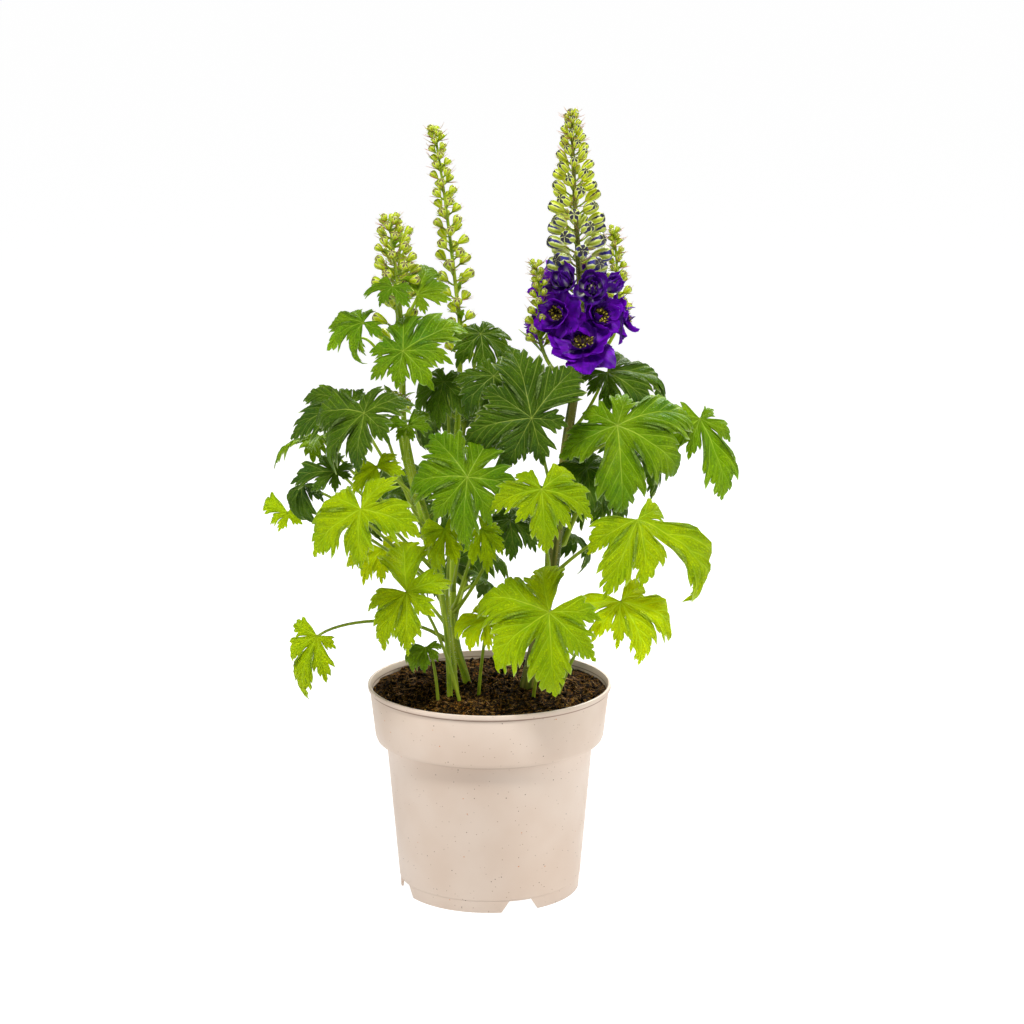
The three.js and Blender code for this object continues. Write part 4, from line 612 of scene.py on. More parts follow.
leaves = {
    "leaf_front_low": dict(hub=(45, -105, 248), face=(-10, 30), droop=0.4, soil=(33, -30), tone="bright",
        lobes=[(-165, 52), (-112, 70), (-57, 68), (8, 69), (52, 52), (98, 42)]),
    "leaf_front_middle": dict(hub=(-15, -105, 350), face=(-5, 30), droop=0.4, stem="middle", z=240,
        lobes=[(-145, 54), (-95, 58), (-42, 44), (-3, 58), (35, 42), (88, 42), (158, 44)]),
    "leaf_left_bright": dict(hub=(-93, -110, 327), face=(-30, 40), droop=0.4, stem="young", z=300,
        tone="bright", lobes=[(-110, 54), (-54, 56), (14, 47), (91, 51), (165, 40)]),
    "leaf_left_upper": dict(hub=(-91, -85, 394), face=(-30, 40), droop=0.4, stem="left", z=300,
        tone="dark", lobes=[(-174, 33), (-98, 58), (-40, 58), (12, 46), (62, 32), (126, 40)]),
    "leaf_centre_dark": dict(hub=(32, -90, 391), face=(0, 15), droop=0.4, stem="main", z=300, tone="dark",
        lobes=[(-169, 68), (-128, 50), (-86, 58), (-29, 45), (16, 38), (87, 30), (145, 60)]),
    "leaf_right_tall": dict(hub=(96, -60, 380), face=(0, 35), droop=0.6, stem="main", z=322, tone="dark",
        lobes=[(-125, 34), (-72, 54), (5, 76), (68, 72), (118, 78), (165, 36)]),
    "leaf_right_big": dict(hub=(111, -77, 312), face=(20, 50), droop=0.75, stem="main", z=254,
        tone="bright", lobes=[(-74, 48), (-36, 72), (-3, 56), (63, 107), (118, 34)]),
    "leaf_right_low": dict(hub=(99, -80, 250), face=(15, 45), droop=0.5, soil=(50, -26), tone="bright",
        lobes=[(-95, 40), (-50, 40), (-14, 38), (20, 54), (76, 62), (130, 36)]),
    "leaf_centre_bright": dict(hub=(39, -120, 344), face=(5, 35), droop=0.5, stem="main", z=250,
        tone="bright", lobes=[(-136, 28), (-86, 44), (-42, 32), (2, 52), (42, 40), (80, 50), (130, 38)]),
    "leaf_left_top": dict(hub=(-63, -60, 436), face=(-20, 35), droop=0.4, stem="left", z=408,
        lobes=[(-167, 47), (-100, 34), (-53, 36), (0, 30), (54, 38), (98, 40), (132, 58)]),
    "leaf_left_back_up": dict(hub=(-104, -20, 389), face=(0, 40), droop=0.3, stem="backLeft", z=300,
        tone="dark", lobes=[(-153, 20), (-118, 48), (-72, 55), (-15, 25), (60, 20), (150, 18)]),
    "leaf_left_dark": dict(hub=(-116, -40, 341), face=(-10, 40), droop=0.3, stem="left", z=262,
        tone="dark", lobes=[(-172, 22), (-138, 24), (-90, 42), (-45, 24), (5, 16), (75, 15), (120, 18)]),
    "leaf_left_droop": dict(hub=(-143, -10, 324), face=(-60, 50), droop=1.1, stem="backLeft", z=235,
        tone="dark", lobes=[(-100, 26), (-42, 30), (0, 38), (48, 42), (105, 26)]),
    "leaf_lower_left": dict(hub=(-61, -84, 258), face=(-15, 40), droop=0.4, soil=(-20, -44),
        tone="bright", lobes=[(-165, 62), (-74, 36), (-28, 50), (10, 50), (55, 30), (122, 38)]),
    "leaf_far_right": dict(hub=(161, -10, 376), face=(15, 32), droop=0.6, stem="main", z=335, tone="dark",
        lobes=[(-115, 26), (-60, 48), (-28, 34), (21, 74), (62, 34), (125, 18)]),
    "leaf_right_top": dict(hub=(90, -12, 412), face=(10, 50), droop=0.6, stem="main", z=365, tone="dark",
        lobes=[(-90, 24), (-45, 26), (-5, 36), (55, 50), (102, 74), (140, 40)]),
    "leaf_left_inner": dict(hub=(-83, -70, 351), face=(-25, 45), droop=0.4, stem="young", z=322,
        tone="bright", lobes=[(-89, 26), (-44, 31), (10, 27), (96, 24), (150, 20)]),
    "leaf_far_left": dict(hub=(-130, -60, 218), face=(-20, 25), droop=0.5, stem="left", z=203,
        tone="bright", lobes=[(-112, 27), (-62, 35), (-19, 58), (18, 38), (70, 18)]),
    "leaf_left_tip": dict(hub=(-158, 30, 294), face=(-20, 30), droop=0.3, stem="left", z=240,
        tone="bright", lobes=[(-108, 34), (-66, 20), (-15, 17), (60, 16), (130, 18)]),
    "leaf_left_pale": dict(hub=(-131, 20, 357), face=(-50, 80), droop=0.3, stem="backLeft", z=270,
        lobes=[(-74, 26), (-26, 46), (36, 34), (95, 22), (160, 20)]),
    "leaf_low_pale": dict(hub=(-1, -60, 232), face=(0, 45), droop=0.7, soil=(-9, -27), tone="bright",
        lobes=[(-150, 22), (-90, 37), (-45, 34), (0, 27), (42, 24), (100, 24)]),
    "leaf_low_old": dict(hub=(-48, -60, 209), face=(-20, 50), droop=0.8, soil=(-38, -46),
        lobes=[(-90, 30), (-35, 26), (10, 22), (60, 16), (120, 15)]),
    "leaf_under_left": dict(hub=(-33, -60, 301), face=(-10, 35), droop=0.6, stem="left", z=215,
        tone="bright", lobes=[(-99, 26), (-52, 24), (-12, 40), (28, 31), (80, 20), (140, 18)]),
    "leaf_under_right": dict(hub=(-5, -72, 303), face=(5, 35), droop=0.6, stem="middle", z=225,
        tone="bright", lobes=[(-75, 22), (-25, 30), (12, 37), (52, 28), (100, 20), (165, 17)]),
    "leaf_back_light": dict(hub=(-84, 40, 262), face=(-20, 45), droop=0.6, stem="backLeft", z=205,
        tone="bright", lobes=[(-85, 44), (-38, 36), (8, 30), (50, 30), (110, 24), (170, 22)]),
}
innerLeaves = {
    "leaf_inner_left": dict(hub=(-34, -25, 407), face=(-15, 50), droop=0.5, size=40, stem="middle",
        z=330),
    "leaf_inner_middle": dict(hub=(4, -52, 416), face=(0, 45), droop=0.5, size=44, stem="middle", z=345),
    "leaf_inner_top": dict(hub=(-6, -14, 442), face=(10, 50), droop=0.5, size=38, stem="middle", z=385),
    "leaf_inner_low": dict(hub=(16, -50, 306), face=(10, 50), droop=0.6, size=36, stem="middle", z=222),
    "leaf_inner_right": dict(hub=(74, -45, 345), face=(10, 50), droop=0.5, size=42, stem="main", z=290),
}
fanAngles = (-142, -98, -50, 0, 50, 98, 142)
fanShares = (0.55, 0.8, 0.94, 1, 0.94, 0.8, 0.55)
stemLeaves = {
    "left": [
        dict(hub=(-71, -45, 482), face=(-10, 45), droop=0.4, stem="left", z=456, lobes=[(-125, 18),
            (-99, 29), (-35, 19), (46, 22), (93, 17)]),
        dict(hub=(-53, -30, 474), face=(0, 45), droop=0.4, stem="left", z=452, lobes=[(-173, 31),
            (20, 17), (90, 27), (124, 32), (167, 48)]),
        dict(hub=(-94, -30, 453), face=(-30, 45), droop=0.4, stem="left", z=430, lobes=[(-171, 18),
            (-131, 27), (-100, 46), (-65, 40), (-9, 26), (74, 20)]),
    ],
    "backLeft": [
        dict(hub=(-99, 10, 436), face=(-60, 40), droop=0.8, stem="backLeft", z=402, lobes=[(-25, 20),
            (8, 28), (45, 18)]),
    ],
    "young": [
        dict(hub=(-60, -60, 380), face=(0, 45), droop=0.4, stem="young", z=352, lobes=[(-109, 20),
            (-43, 15), (20, 14), (95, 20), (139, 27)]),
    ],
}
backShoots = {
    "shoot_right": dict(stem="main", z=276, azimuth=122, reach=42, rise=52, size=46),
    "shoot_back_right": dict(stem="main", z=234, azimuth=178, reach=52, rise=52, size=48),
    "shoot_back_middle": dict(stem="middle", z=312, azimuth=170, reach=50, rise=60, size=52),
    "shoot_back_left": dict(stem="backLeft", z=256, azimuth=206, reach=48, rise=42, size=50),
    "shoot_back_low": dict(stem="middle", z=216, azimuth=167, reach=50, rise=24, size=41),
}
# The leaves of such a shoot: where along it, how far they turn off, and their size as a share.
shoot = {"radii": (2.4, 1.3), "gap": 0.5, "bend": (0.35, 0.7), "steps": 10, "sides": 10, "sheath": 1.3,
         "reach": 0.55, "climb": 0.3, "height": 48, "droop": 0.6,
         "leaves": ((0.5, -62, 0.8), (0.72, 58, 0.88), (1, 0, 1)),
         "angles": (-125, -62, 0, 62, 125), "shares": (0.75, 0.95, 1, 0.95, 0.75)}


def readLeaf(leaf):
    lobes = leaf.get("lobes") or [(a, leaf["size"] * s) for a, s in zip(fanAngles, fanShares)]
    return {**leaf, "lobes": lobes, "size": leaf.get("size") or max(length for _, length in lobes)}


def bladeSurface(leaf):
    normal, down, right = facing(*leaf["face"])
    hub = Vector(leaf["hub"])

    def spot(reach, angle):
        out = down * math.cos(angle) + right * math.sin(angle)
        pull = -normal - up * blade["sag"]
        pull -= out * pull.dot(out)
        curl = max(1e-4, leaf["droop"] / leaf["size"] * pull.length)
        bend = min(blade["mostBend"], curl * reach)
        return hub + out * (math.sin(bend) / curl) + pull.normalized() * ((1 - math.cos(bend)) / curl)

    def raised(reach, angle, lift):
        at = spot(reach, angle)
        if reach <= 1:
            return at + normal * lift
        outward = spot(reach + 0.5, angle) - at
        around = spot(reach, angle + 0.5 / reach) - at
        lift += blade["ripple"] * reach * math.sin(3 * angle + leaf["size"])
        lift += blade["wave"] * min(1, reach / 20) * noise.noise(at / blade["waveLength"])
        at += outward.cross(around).normalized() * lift
        at.y = max(at.y, blade["front"])
        return at

    return raised


def lobeGrid(bm, leaf, raised, number, sinuses, halves, index, rng, skin):
    # One lobe: rows run from the rib to each side's edge along the side veins.
    degrees, length = leaf["lobes"][number]
    edge = longEdge if length >= lobe["short"] else shortEdge
    jitters = [[1 + rng.uniform(-1, 1) * lobe["jitter"] for _ in edge] for _ in (0, 1)]
    twist, sickle = rng.uniform(-1, 1) * blade["twist"], rng.uniform(-1, 1) * blade["sickle"]
    droop, fold = rng.uniform(*blade["tipDroop"]), rng.uniform(*blade["fold"])
    between = lobe["between"]
    rows = len(edge) * between

    def edgeAt(side, row):
        key, part = divmod(row, between)
        sinusReach, sinusAngle = sinuses[side]
        start = (sinusReach / length * math.cos(sinusAngle), sinusReach / length * math.sin(sinusAngle), 0, 0)
        half = halves[side]

        def corner(i):
            if i < 0:
                return start
            along, share, rib, vein = edge[i]
            stretch = jitters[side][i] if i < len(edge) - 1 else 1
            return along * (1 + (stretch - 1) * 0.5), share * half * stretch, rib, vein

        if part == 0:
            return corner(key - 1)
        low, high = corner(key - 1), corner(key)
        spot = [lerp(pair, part / between) for pair in zip(low, high)]
        if high[3] % 1 == 0:  # the back of a tooth is bowed
            step = math.hypot(high[0] - low[0], high[1] - low[1]) or 1
            bow = lobe["bow"] if key else lobe["bow"] * 0.5
            spot[0] -= bow * (high[1] - low[1]) / step
            spot[1] += bow * (high[0] - low[0]) / step
        return spot

    edges = [[edgeAt(side, row) for row in range(rows + 1)] for side in (0, 1)]

    def place(across, along):
        sideways = 1 - 2 * across
        side = 0 if sideways > 0 else 1
        u = abs(sideways)
        endAlong, endSide, rib, vein = edges[side][round(along * rows)]
        forward, aside = lerp((rib, endAlong), u), endSide * u
        sign = 1 if side == 0 else -1
        bent = sign * aside + sickle * max(0, forward - 0.35) ** 2
        reach = length * math.hypot(forward, bent)
        angle = math.radians(degrees) + math.atan2(bent, forward)
        settled = min(1, vein)
        lift = fold * aside * length * settled + blade["fold"][0] * aside * length * (1 - settled)
        lift -= blade["curl"] * length * settled * aside * u ** 3 * max(0, forward - 0.3)
        # 6.75 brings the top of u * u * (1 - u) to 1.
        lift += blade["quilt"] * length * endSide * math.sin(math.pi * vein) ** 2 * 6.75 * u * u * (1 - u)
        lift += twist * sign * aside * length * settled
        lift -= droop * length * max(0, (reach / length - 0.5) / 0.5) ** 2
        return raised(reach, angle, lift)

    def mapping(across, along):
        side = 0 if across < 0.5 else 1
        return abs(1 - 2 * across), edges[side][round(along * rows)][3] + index * veins["perLeaf"]

    patch(bm, 2 * lobe["columns"], rows, place, mapping, skin)


def addBlade(bm, leaf, index, skin=0):
    rng = random.Random(index * 17 + 3)
    raised = bladeSurface(leaf)
    lobes = leaf["lobes"]
    gaps = [(lobes[(i + 1) % len(lobes)][0] + (360 if i + 1 == len(lobes) else 0)) - lobes[i][0]
            for i in range(len(lobes))]
    spreads = [min(lobe["widest"], lobe["share"] * gap) for gap in gaps]
    whole = bmesh.new()
    for i, (_, length) in enumerate(lobes):
        sinuses, halves = [], []
        for gap, spread, other in ((gaps[i], spreads[i], lobes[(i + 1) % len(lobes)][1]),
                                   (gaps[i - 1], spreads[i - 1], lobes[i - 1][1])):
            closed = gap <= lobe["wideGap"]
            reach = lobe["sinus"] * (min(length, other) if closed else length)
            sinuses.append((reach, math.radians(gap / 2 if closed else spread * lobe["openSide"])))
            halves.append(min(lobe["reach"] * math.tan(math.radians(spread)), lobe["mostHalf"] / length))
        lobeGrid(whole, leaf, raised, i, sinuses, halves, index, rng, skin)
    bmesh.ops.remove_doubles(whole, verts=whole.verts[:], dist=0.02)
    join(bm, whole)


def stalkPath(leaf, steps):
    normal, down, _ = facing(*leaf["face"])
    hub = Vector(leaf["hub"])
    end = hub - normal * stalk["collar"]
    if "root" in leaf:
        foot = leaf["root"]
        leave = Vector((end.x - foot.x, end.y - foot.y, 0)).normalized() + up * 0.9
    elif "soil" in leaf:
        foot = Vector((*leaf["soil"], soil["edge"] - soil["rooting"]))
        leave = Vector((0.35 * (end.x - foot.x), 0.35 * (end.y - foot.y), end.z - foot.z))
    else:
        foot, radius = stemAt(leaf["stem"], leaf["z"])
        away = Vector((end.x - foot.x, end.y - foot.y, 0)).normalized()
        foot = foot + away * radius * 0.6
        leave = away + up * 0.9
    length = (end - foot).length
    arrive = (normal * 0.8 + down * 0.5).normalized()
    path = bezier([foot, foot + leave.normalized() * length * 0.4, end - arrive * length * 0.3, end], steps)
    return path + [hub - normal * 0.2]


def addLeafStalk(bm, leaf, skin):
    path = stalkPath(leaf, stalk["steps"])
    slim = [lerp((stalk["foot"], stalk["top"]), i / (len(path) - 1)) for i in range(len(path))]
    if "stem" in leaf:
        slim[0] *= stalk["sheath"][0]
        slim[1] *= stalk["sheath"][1]
    slim[-1] *= stalk["flare"]
    tube(bm, path, slim, stalk["sides"], skin, stalk["ribs"])


def leafMaterials(tone):
    return [upperFace[tone], underFace[tone], leafRim, stalkSkin]


# These leaves are a tone lighter than the rest of their slot: painted light where the lamps reach them.
paintedSunlitLeaves = {"leaf_right_tall": "middle", "leaf_far_right": "middle", "leaf_right_low": "glowing",
          "leaf_back_light": "glowing", "leaf_low_pale": "glowing"}
soil = {"edge": 158.5, "crown": 164.5, "lump": 2.2, "rooting": 12}
for number, (name, leaf) in enumerate({**leaves, **innerLeaves}.items()):
    # Inner leaves take the dark tone, painted shade inside the plant; the rest default to the middle one.
    tone, whole = leaf.get("tone", "dark" if name in innerLeaves else "middle"), readLeaf(leaf)
    skins = leafMaterials(paintedSunlitLeaves.get(name, tone))
    sheets = bmesh.new()
    addBlade(sheets, whole, number)
    bm = thickened(sheets, blade["thickness"], skins, 1, 2)
    addLeafStalk(bm, whole, 3)
    addPiece(bm, name + "_fine", skins, name)
print("stage: leaves")


def shootPiece(cadNode, part, index):
    at, radius = stemAt(part["stem"], part["z"])

    def heading(degrees):
        a = math.radians(degrees)
        return Vector((math.sin(a), -math.cos(a), 0))

    out = heading(part["azimuth"])
    foot = at + out * (radius + shoot["radii"][0] + shoot["gap"])
    end = foot + out * part["reach"] + up * part["rise"]
    bend = foot + out * part["reach"] * shoot["bend"][0] + up * part["rise"] * shoot["bend"][1]
    ready = []
    sheets = bmesh.new()
    for number, (share, turn, size) in enumerate(shoot["leaves"]):
        own = part["size"] * size
        spot = curveAt([foot, bend, end], share)
        hub = spot + heading(part["azimuth"] + turn) * own * shoot["reach"] + up * own * shoot["climb"]
        leaf = dict(hub=hub, face=(part["azimuth"] + turn, shoot["height"]), droop=shoot["droop"], size=own,
                    root=spot, lobes=[(a, own * s) for a, s in zip(shoot["angles"], shoot["shares"])])
        addBlade(sheets, leaf, index * 3 + number)
        ready.append(leaf)
    # The back shoots take the dark tone: painted shade.
    bm = thickened(sheets, blade["thickness"], leafMaterials("dark"), 1, 2)
    steps = shoot["steps"]
    path = [at + out * radius * 0.5] + bezier([foot, bend, end], steps)
    slim = [lerp(shoot["radii"], i / steps) for i in range(steps + 1)]
    tube(bm, path, [slim[0] * shoot["sheath"]] + slim, shoot["sides"], 3)
    for leaf in ready:
        addLeafStalk(bm, leaf, 3)
    addPiece(bm, cadNode + "_fine", leafMaterials("dark"), cadNode)


for number, (name, part) in enumerate(backShoots.items()):
    shootPiece(name, part, 40 + number)
print("stage: back shoots")

# Buds, bracts and small leaves

spikes = {
    "main": dict(stem="main", low=482, high=606, count=46, length=(16, 5), width=(6.2, 2.1),
        stalk=(9.5, 1.5), taper=1.7, rise=(10, 55), turn=0.6),
    "sideLeft": dict(stem="sideLeft", low=432, high=496, count=11, length=(9, 5), width=(3.6, 2.2),
        stalk=(6, 1.5), rise=(25, 60), turn=0.9),
    "sideRight": dict(stem="sideRight", low=446, high=516, count=12, length=(9, 5), width=(3.6, 2.2),
        stalk=(6, 1.5), rise=(25, 60), turn=1.9),
    "middleLow": dict(stem="middle", low=416, high=466, count=6, length=(9, 9), width=(4.2, 4.2),
        stalk=(8, 8), rise=(50, 50), turn=0.4),
    "middleHigh": dict(stem="middle", low=472, high=592, count=25, length=(11, 6), width=(4.6, 2.8),
        stalk=(9, 3), rise=(35, 60), turn=1.1),
    "left": dict(stem="left", low=466, high=528, count=20, length=(10, 6.5), width=(4.2, 3),
        stalk=(11, 3), taper=1.7, rise=(20, 60), turn=0),
    "backLeft": dict(stem="backLeft", low=426, high=512, count=12, length=(14, 9), width=(5.2, 3.6),
        stalk=(9, 3), rise=(25, 60), turn=2.4),
    "young": dict(stem="young", low=386, high=400, count=10, length=(6, 5), width=(3, 2.4), stalk=(9, 2),
        rise=(20, 70), turn=0.9),
}
leafletSets = {
    "sideLeft": dict(stem="sideLeft", low=424, high=438, count=2, length=(30, 20), width=8, rise=(50, 55),
        turn=3.2),
    "young": dict(stem="young", low=380, high=398, count=7, length=(24, 16), width=7, rise=(0, 45),
        turn=0.5),
    "left": dict(stem="left", low=466, high=508, count=5, length=(19, 12), width=4.5, rise=(20, 60),
        turn=2.2),
    "middle": dict(stem="middle", low=404, high=468, count=4, length=(22, 14), width=5, rise=(35, 60),
        turn=0.2),
    "backLeft": dict(stem="backLeft", low=424, high=470, count=3, length=(18, 14), width=4.5,
        rise=(20, 50), turn=4),
}
# Share says how many buds a spike gets beside its base count, and near how close they stand to its stem. A
# barrel or drop is the bud's outline: share along, share of its half width. Bracts have a length in mm and a
# share of what they stand by.
bud = {"stalk": 0.75, "climb": 0.6, "groove": 0.16, "crowd": 1.2, "inset": 1.2, "ceiling": 610.9,
       "share": {"main": 1.5, "sideLeft": 2.5, "sideRight": 2.5}, "others": 1.75,
       "near": {"middleLow": 0.6, "middleHigh": 0.7, "sideLeft": 0.75, "sideRight": 0.75},
       "barrel": ((0, 0), (0.03, 0.24), (0.1, 0.46), (0.24, 0.74), (0.44, 0.95), (0.66, 1.03), (0.84, 0.95),
                  (0.94, 0.74), (0.985, 0.45), (0.965, 0.2), (0.93, 0)),
       "drop": ((0, 0), (0.04, 0.24), (0.16, 0.46), (0.34, 0.7), (0.54, 0.93), (0.73, 1.04), (0.88, 0.9),
                (0.97, 0.54), (0.985, 0.26), (0.96, 0)),
       "columns": {"barrel": 20, "drop": 10}, "riseScatter": 7, "widths": (0.9, 1.03),
       "lengths": {"barrel": (0.93, 1.03), "drop": (0.88, 1.03)},
       "bract": (6.5, 0.9), "bracteole": (6, 0.4), "leafy": (3, 0.45), "thick": 0.4, "leafyThick": 0.75,
       "bractTaper": (1, 0.85, 0.68, 0.48, 0.2)}


def addBud(bm, foot, axis, length, width, shape, skin):
    profile, columns = bud[shape], bud["columns"][shape]
    rows = len(profile) - 1
    a = (up - axis * up.dot(axis)).normalized() if abs(axis.z) < 0.95 else axis.orthogonal().normalized()
    b = axis.cross(a)

    def place(across, along):
        share, radius = profile[round(along * rows)]
        angle = 2 * math.pi * across
        seam = (1 - abs(math.sin(2.5 * angle))) ** 2
        radius *= width * (1 - bud["groove"] * seam * min(1, share * 1.6))
        return foot + axis * (length * share) + (a * math.cos(angle) + b * math.sin(angle)) * radius

    patch(bm, columns, rows, place, lambda across, along: (5 * across, profile[round(along * rows)][0]), skin)


def addBract(bm, foot, out, length, skin, rng, thick):
    side = Vector((-out.y, out.x, 0)) * rng.uniform(-0.5, 0.5)
    rise = rng.uniform(0.0, 0.8)
    bend = foot + (out + side * 0.3 + up * rise * 0.4) * length * 0.5
    tip = foot + (out + side + up * rise * 1.2) * length
    tip.z = min(tip.z, bud["ceiling"])
    radii = [thick * share for share in bud["bractTaper"]]
    tube(bm, bezier([foot, bend, tip], len(radii) - 1), radii, 3, skin)


def addSpike(bm, name, shape, skins, rng):
    # skins: material numbers of the stalks, the buds and the bracts.
    spike = spikes[name]
    count = round(spike["count"] * bud["share"].get(name, bud["others"]))
    # Bracteoles on each bud's stalk: how many, how far out, how far they turn, kind, skin, thickness.
    small = [(2, 0.8, 0.9, "bracteole", skins[2], "thick")]
    if shape == "drop":
        small.append((2, 0.9, 1.3, "leafy", skins[0], "leafyThick"))
    for i in range(count):
        t = 1 - (1 - i / (count - 1)) ** bud["crowd"]
        taper = t ** spike.get("taper", 1)
        at, _ = stemAt(spike["stem"], lerp((spike["low"], spike["high"] - bud["inset"]), t))
        angle = spike["turn"] + i * goldenAngle
        out = flat(angle)
        rise = math.radians(lerp(spike["rise"], t) + rng.uniform(-bud["riseScatter"], bud["riseScatter"]))
        reach = lerp(spike["stalk"], taper) * bud["near"].get(name, 1)
        axis = out * math.cos(rise) + up * math.sin(rise)
        foot = at + out * reach + up * reach * bud["climb"]
        length = lerp(spike["length"], taper) * rng.uniform(*bud["lengths"][shape])
        width = lerp(spike["width"], t) * rng.uniform(*bud["widths"])
        path = bezier([at, at + out * reach * 0.6 + up * reach * 0.1, foot, foot + axis * length * 0.12], 4)
        tube(bm, path, [bud["stalk"]] * len(path), 6, skins[0])
        addBud(bm, foot, axis, length, width, shape, skins[1])
        fixed, share = bud["bract"]
        addBract(bm, at + up * 0.5, out, fixed + reach * share, skins[2], rng, bud["thick"])
        for number, along, spread, kind, skin, thick in small:
            fixed, share = bud[kind]
            for _ in range(number):
                turned = flat(angle + rng.uniform(-spread, spread))
                addBract(bm, at + (foot - at) * along, turned, fixed + length * share, skin, rng, bud[thick])


leaflet = {"wave": 0.16, "waves": 19, "sag": 2, "fold": 0.3, "curl": (-0.1, 0.12)}


def addLeaflets(bm, group, skin, rng):
    for i in range(group["count"]):
        t = i / (group["count"] - 1)
        at, _ = stemAt(group["stem"], lerp((group["low"], group["high"]), t))
        angle = group["turn"] + i * goldenAngle
        out = flat(angle)
        rise = math.radians(lerp(group["rise"], t))
        axis = out * math.cos(rise) + up * math.sin(rise)
        side = Vector((-out.y, out.x, 0))
        face = axis.cross(side)
        length, half = lerp(group["length"], t), group["width"] / 2
        curl = rng.uniform(*leaflet["curl"])

        def place(across, along):
            s = 1 - 2 * across
            wide = half * math.sin(math.pi * along ** 0.75) ** 0.9 if 0 < along < 1 else 0
            wide *= 1 + leaflet["wave"] * math.sin(along * leaflet["waves"])
            sag = -leaflet["sag"] * along ** 2 + curl * length * along * (1 - along) * 4
            lift = leaflet["fold"] * abs(s) * wide + sag
            return at + axis * (length * along) - side * (s * wide) + face * lift

        patch(bm, 4, 10, place, lambda across, along: (abs(1 - 2 * across), along * 2), skin)


# Flowers

flowers = {
    "flower_front": dict(hub=(71, -40, 435), face=(-5, 60), radius=26, cup=6, eye=8.5, low=428),
    "flower_left": dict(hub=(54, -28, 459), face=(-35, 14), radius=15, cup=22, eye=6, low=446),
    "flower_right": dict(hub=(82, -25, 456), face=(28, 18), radius=16, cup=24, eye=6, low=444),
    "flower_upper": dict(hub=(77, -24, 476), face=(4, 25), radius=12, cup=46, low=462),
    "flower_half_left": dict(hub=(59, -19, 480), face=(-25, 38), radius=11.5, cup=62, low=468),
    "flower_half_right": dict(hub=(90, -10, 476), face=(45, 35), radius=9.5, cup=68, whorls=1, low=468),
    "flower_side_left": dict(hub=(40, 11, 448), face=(-95, 12), radius=18, cup=10, eye=7, low=436),
    "flower_side_right": dict(hub=(99, -1, 452), face=(100, 12), radius=18, cup=10, eye=7, low=438),
    "flower_back_low": dict(hub=(66, 34, 446), face=(178, 20), radius=21, cup=8, eye=7.5, low=434),
    "flower_back_left": dict(hub=(50, 22, 474), face=(-145, 15), radius=15, cup=25, eye=3.6, low=462),
    "flower_back_right": dict(hub=(77, 24, 480), face=(165, 25), radius=12, cup=52, whorls=1, low=466),
}
# Whorls: count, first angle, length and half width as shares of the flower's radius, cup in degrees added to
# the flower's own, lift in mm and material. Waves: how often across a petal, their phase and their share.
petal = {"thickness": 0.35, "columns": 10, "rows": 10, "ruffle": 2.3, "scatter": 0.16, "cupScatter": 11,
         "big": 17, "grow": 0.96, "growSmall": 1.2, "growOpening": 1.3, "sizes": (0.88, 1.04),
         "tilt": (0.6, 1.4), "curve": (-0.3, 0.2), "pleat": (0.04, 0.16),
         "waves": ((4.2, 1, 0.6), (9, 2, 0.3), (17, 1, 0.1)),
         "whorls": (dict(count=6, turn=0, reach=1.14, half=0.54, cup=-4, lift=-0.6, skin=0),
                    dict(count=5, turn=0.63, reach=0.98, half=0.5, cup=16, lift=1.2, skin=0),
                    dict(count=7, turn=0.3, reach=0.68, half=0.4, cup=38, lift=1.8, skin=1))}
spur = {"foot": 2.5, "climb": 4, "length": 12, "sides": 8, "cup": (5.5, 6.2, 2.6),
        "radii": (2.2, 2.1, 1.8, 1.5, 1.3, 1.1, 0.9, 0.7, 0.5)}
# Pale stamens in a half-open flower, by height and width.
opening = {"count": 7, "spots": ((1.5, 0), (5, 1.4), (7, 2.6)), "radii": (0.5, 1.1, 0.4)}


def addPetal(bm, flower, whorl, number, rng):
    normal, down, right = facing(*flower["face"])
    hub = Vector(flower["hub"])
    scatter = petal["scatter"]
    middle = whorl["turn"] + 2 * math.pi * number / whorl["count"] + rng.uniform(-scatter, scatter)
    kind = "grow" if flower["radius"] > petal["big"] else "growSmall" if "eye" in flower else "growOpening"
    size = flower["radius"] * whorl["reach"] * rng.uniform(*petal["sizes"]) * petal[kind]
    phase, tilt = rng.uniform(0, 6), rng.uniform(*petal["tilt"])
    cup = math.radians(flower["cup"] + whorl["cup"] + rng.uniform(-petal["cupScatter"], petal["cupScatter"]))
    curve, pleat = rng.uniform(*petal["curve"]), rng.uniform(*petal["pleat"])

    def place(across, along):
        # A narrow claw, widest six tenths of the way out, and a round tip with a small point.
        s = 1 - 2 * across
        wide = whorl["half"] * math.sin(math.pi * (0.06 + 0.76 * along)) ** 0.8
        forward = along * (1 - 0.2 * s * s * along) + 0.05 * (1 - abs(s)) * along ** 3
        aside = s * wide * (0.12 + 0.88 * min(1, along * 1.3))
        share = math.hypot(forward, aside)
        angle = middle + math.atan2(aside, forward)
        out = down * math.cos(angle) + right * math.sin(angle)
        rise = cup * min(share, 1.1) + curve * along ** 2
        lift = whorl["lift"] + tilt * s * along
        wave = sum(math.sin(s * often + phase * shift) * part for often, shift, part in petal["waves"])
        lift += petal["ruffle"] * along ** 2 * wave
        lift += pleat * size * abs(s) * along * (1.2 - along)
        return hub + out * (size * share * math.cos(rise)) + normal * (lift + size * share * math.sin(rise))

    patch(bm, petal["columns"], petal["rows"], place, lambda across, along: (across, along), whorl["skin"])


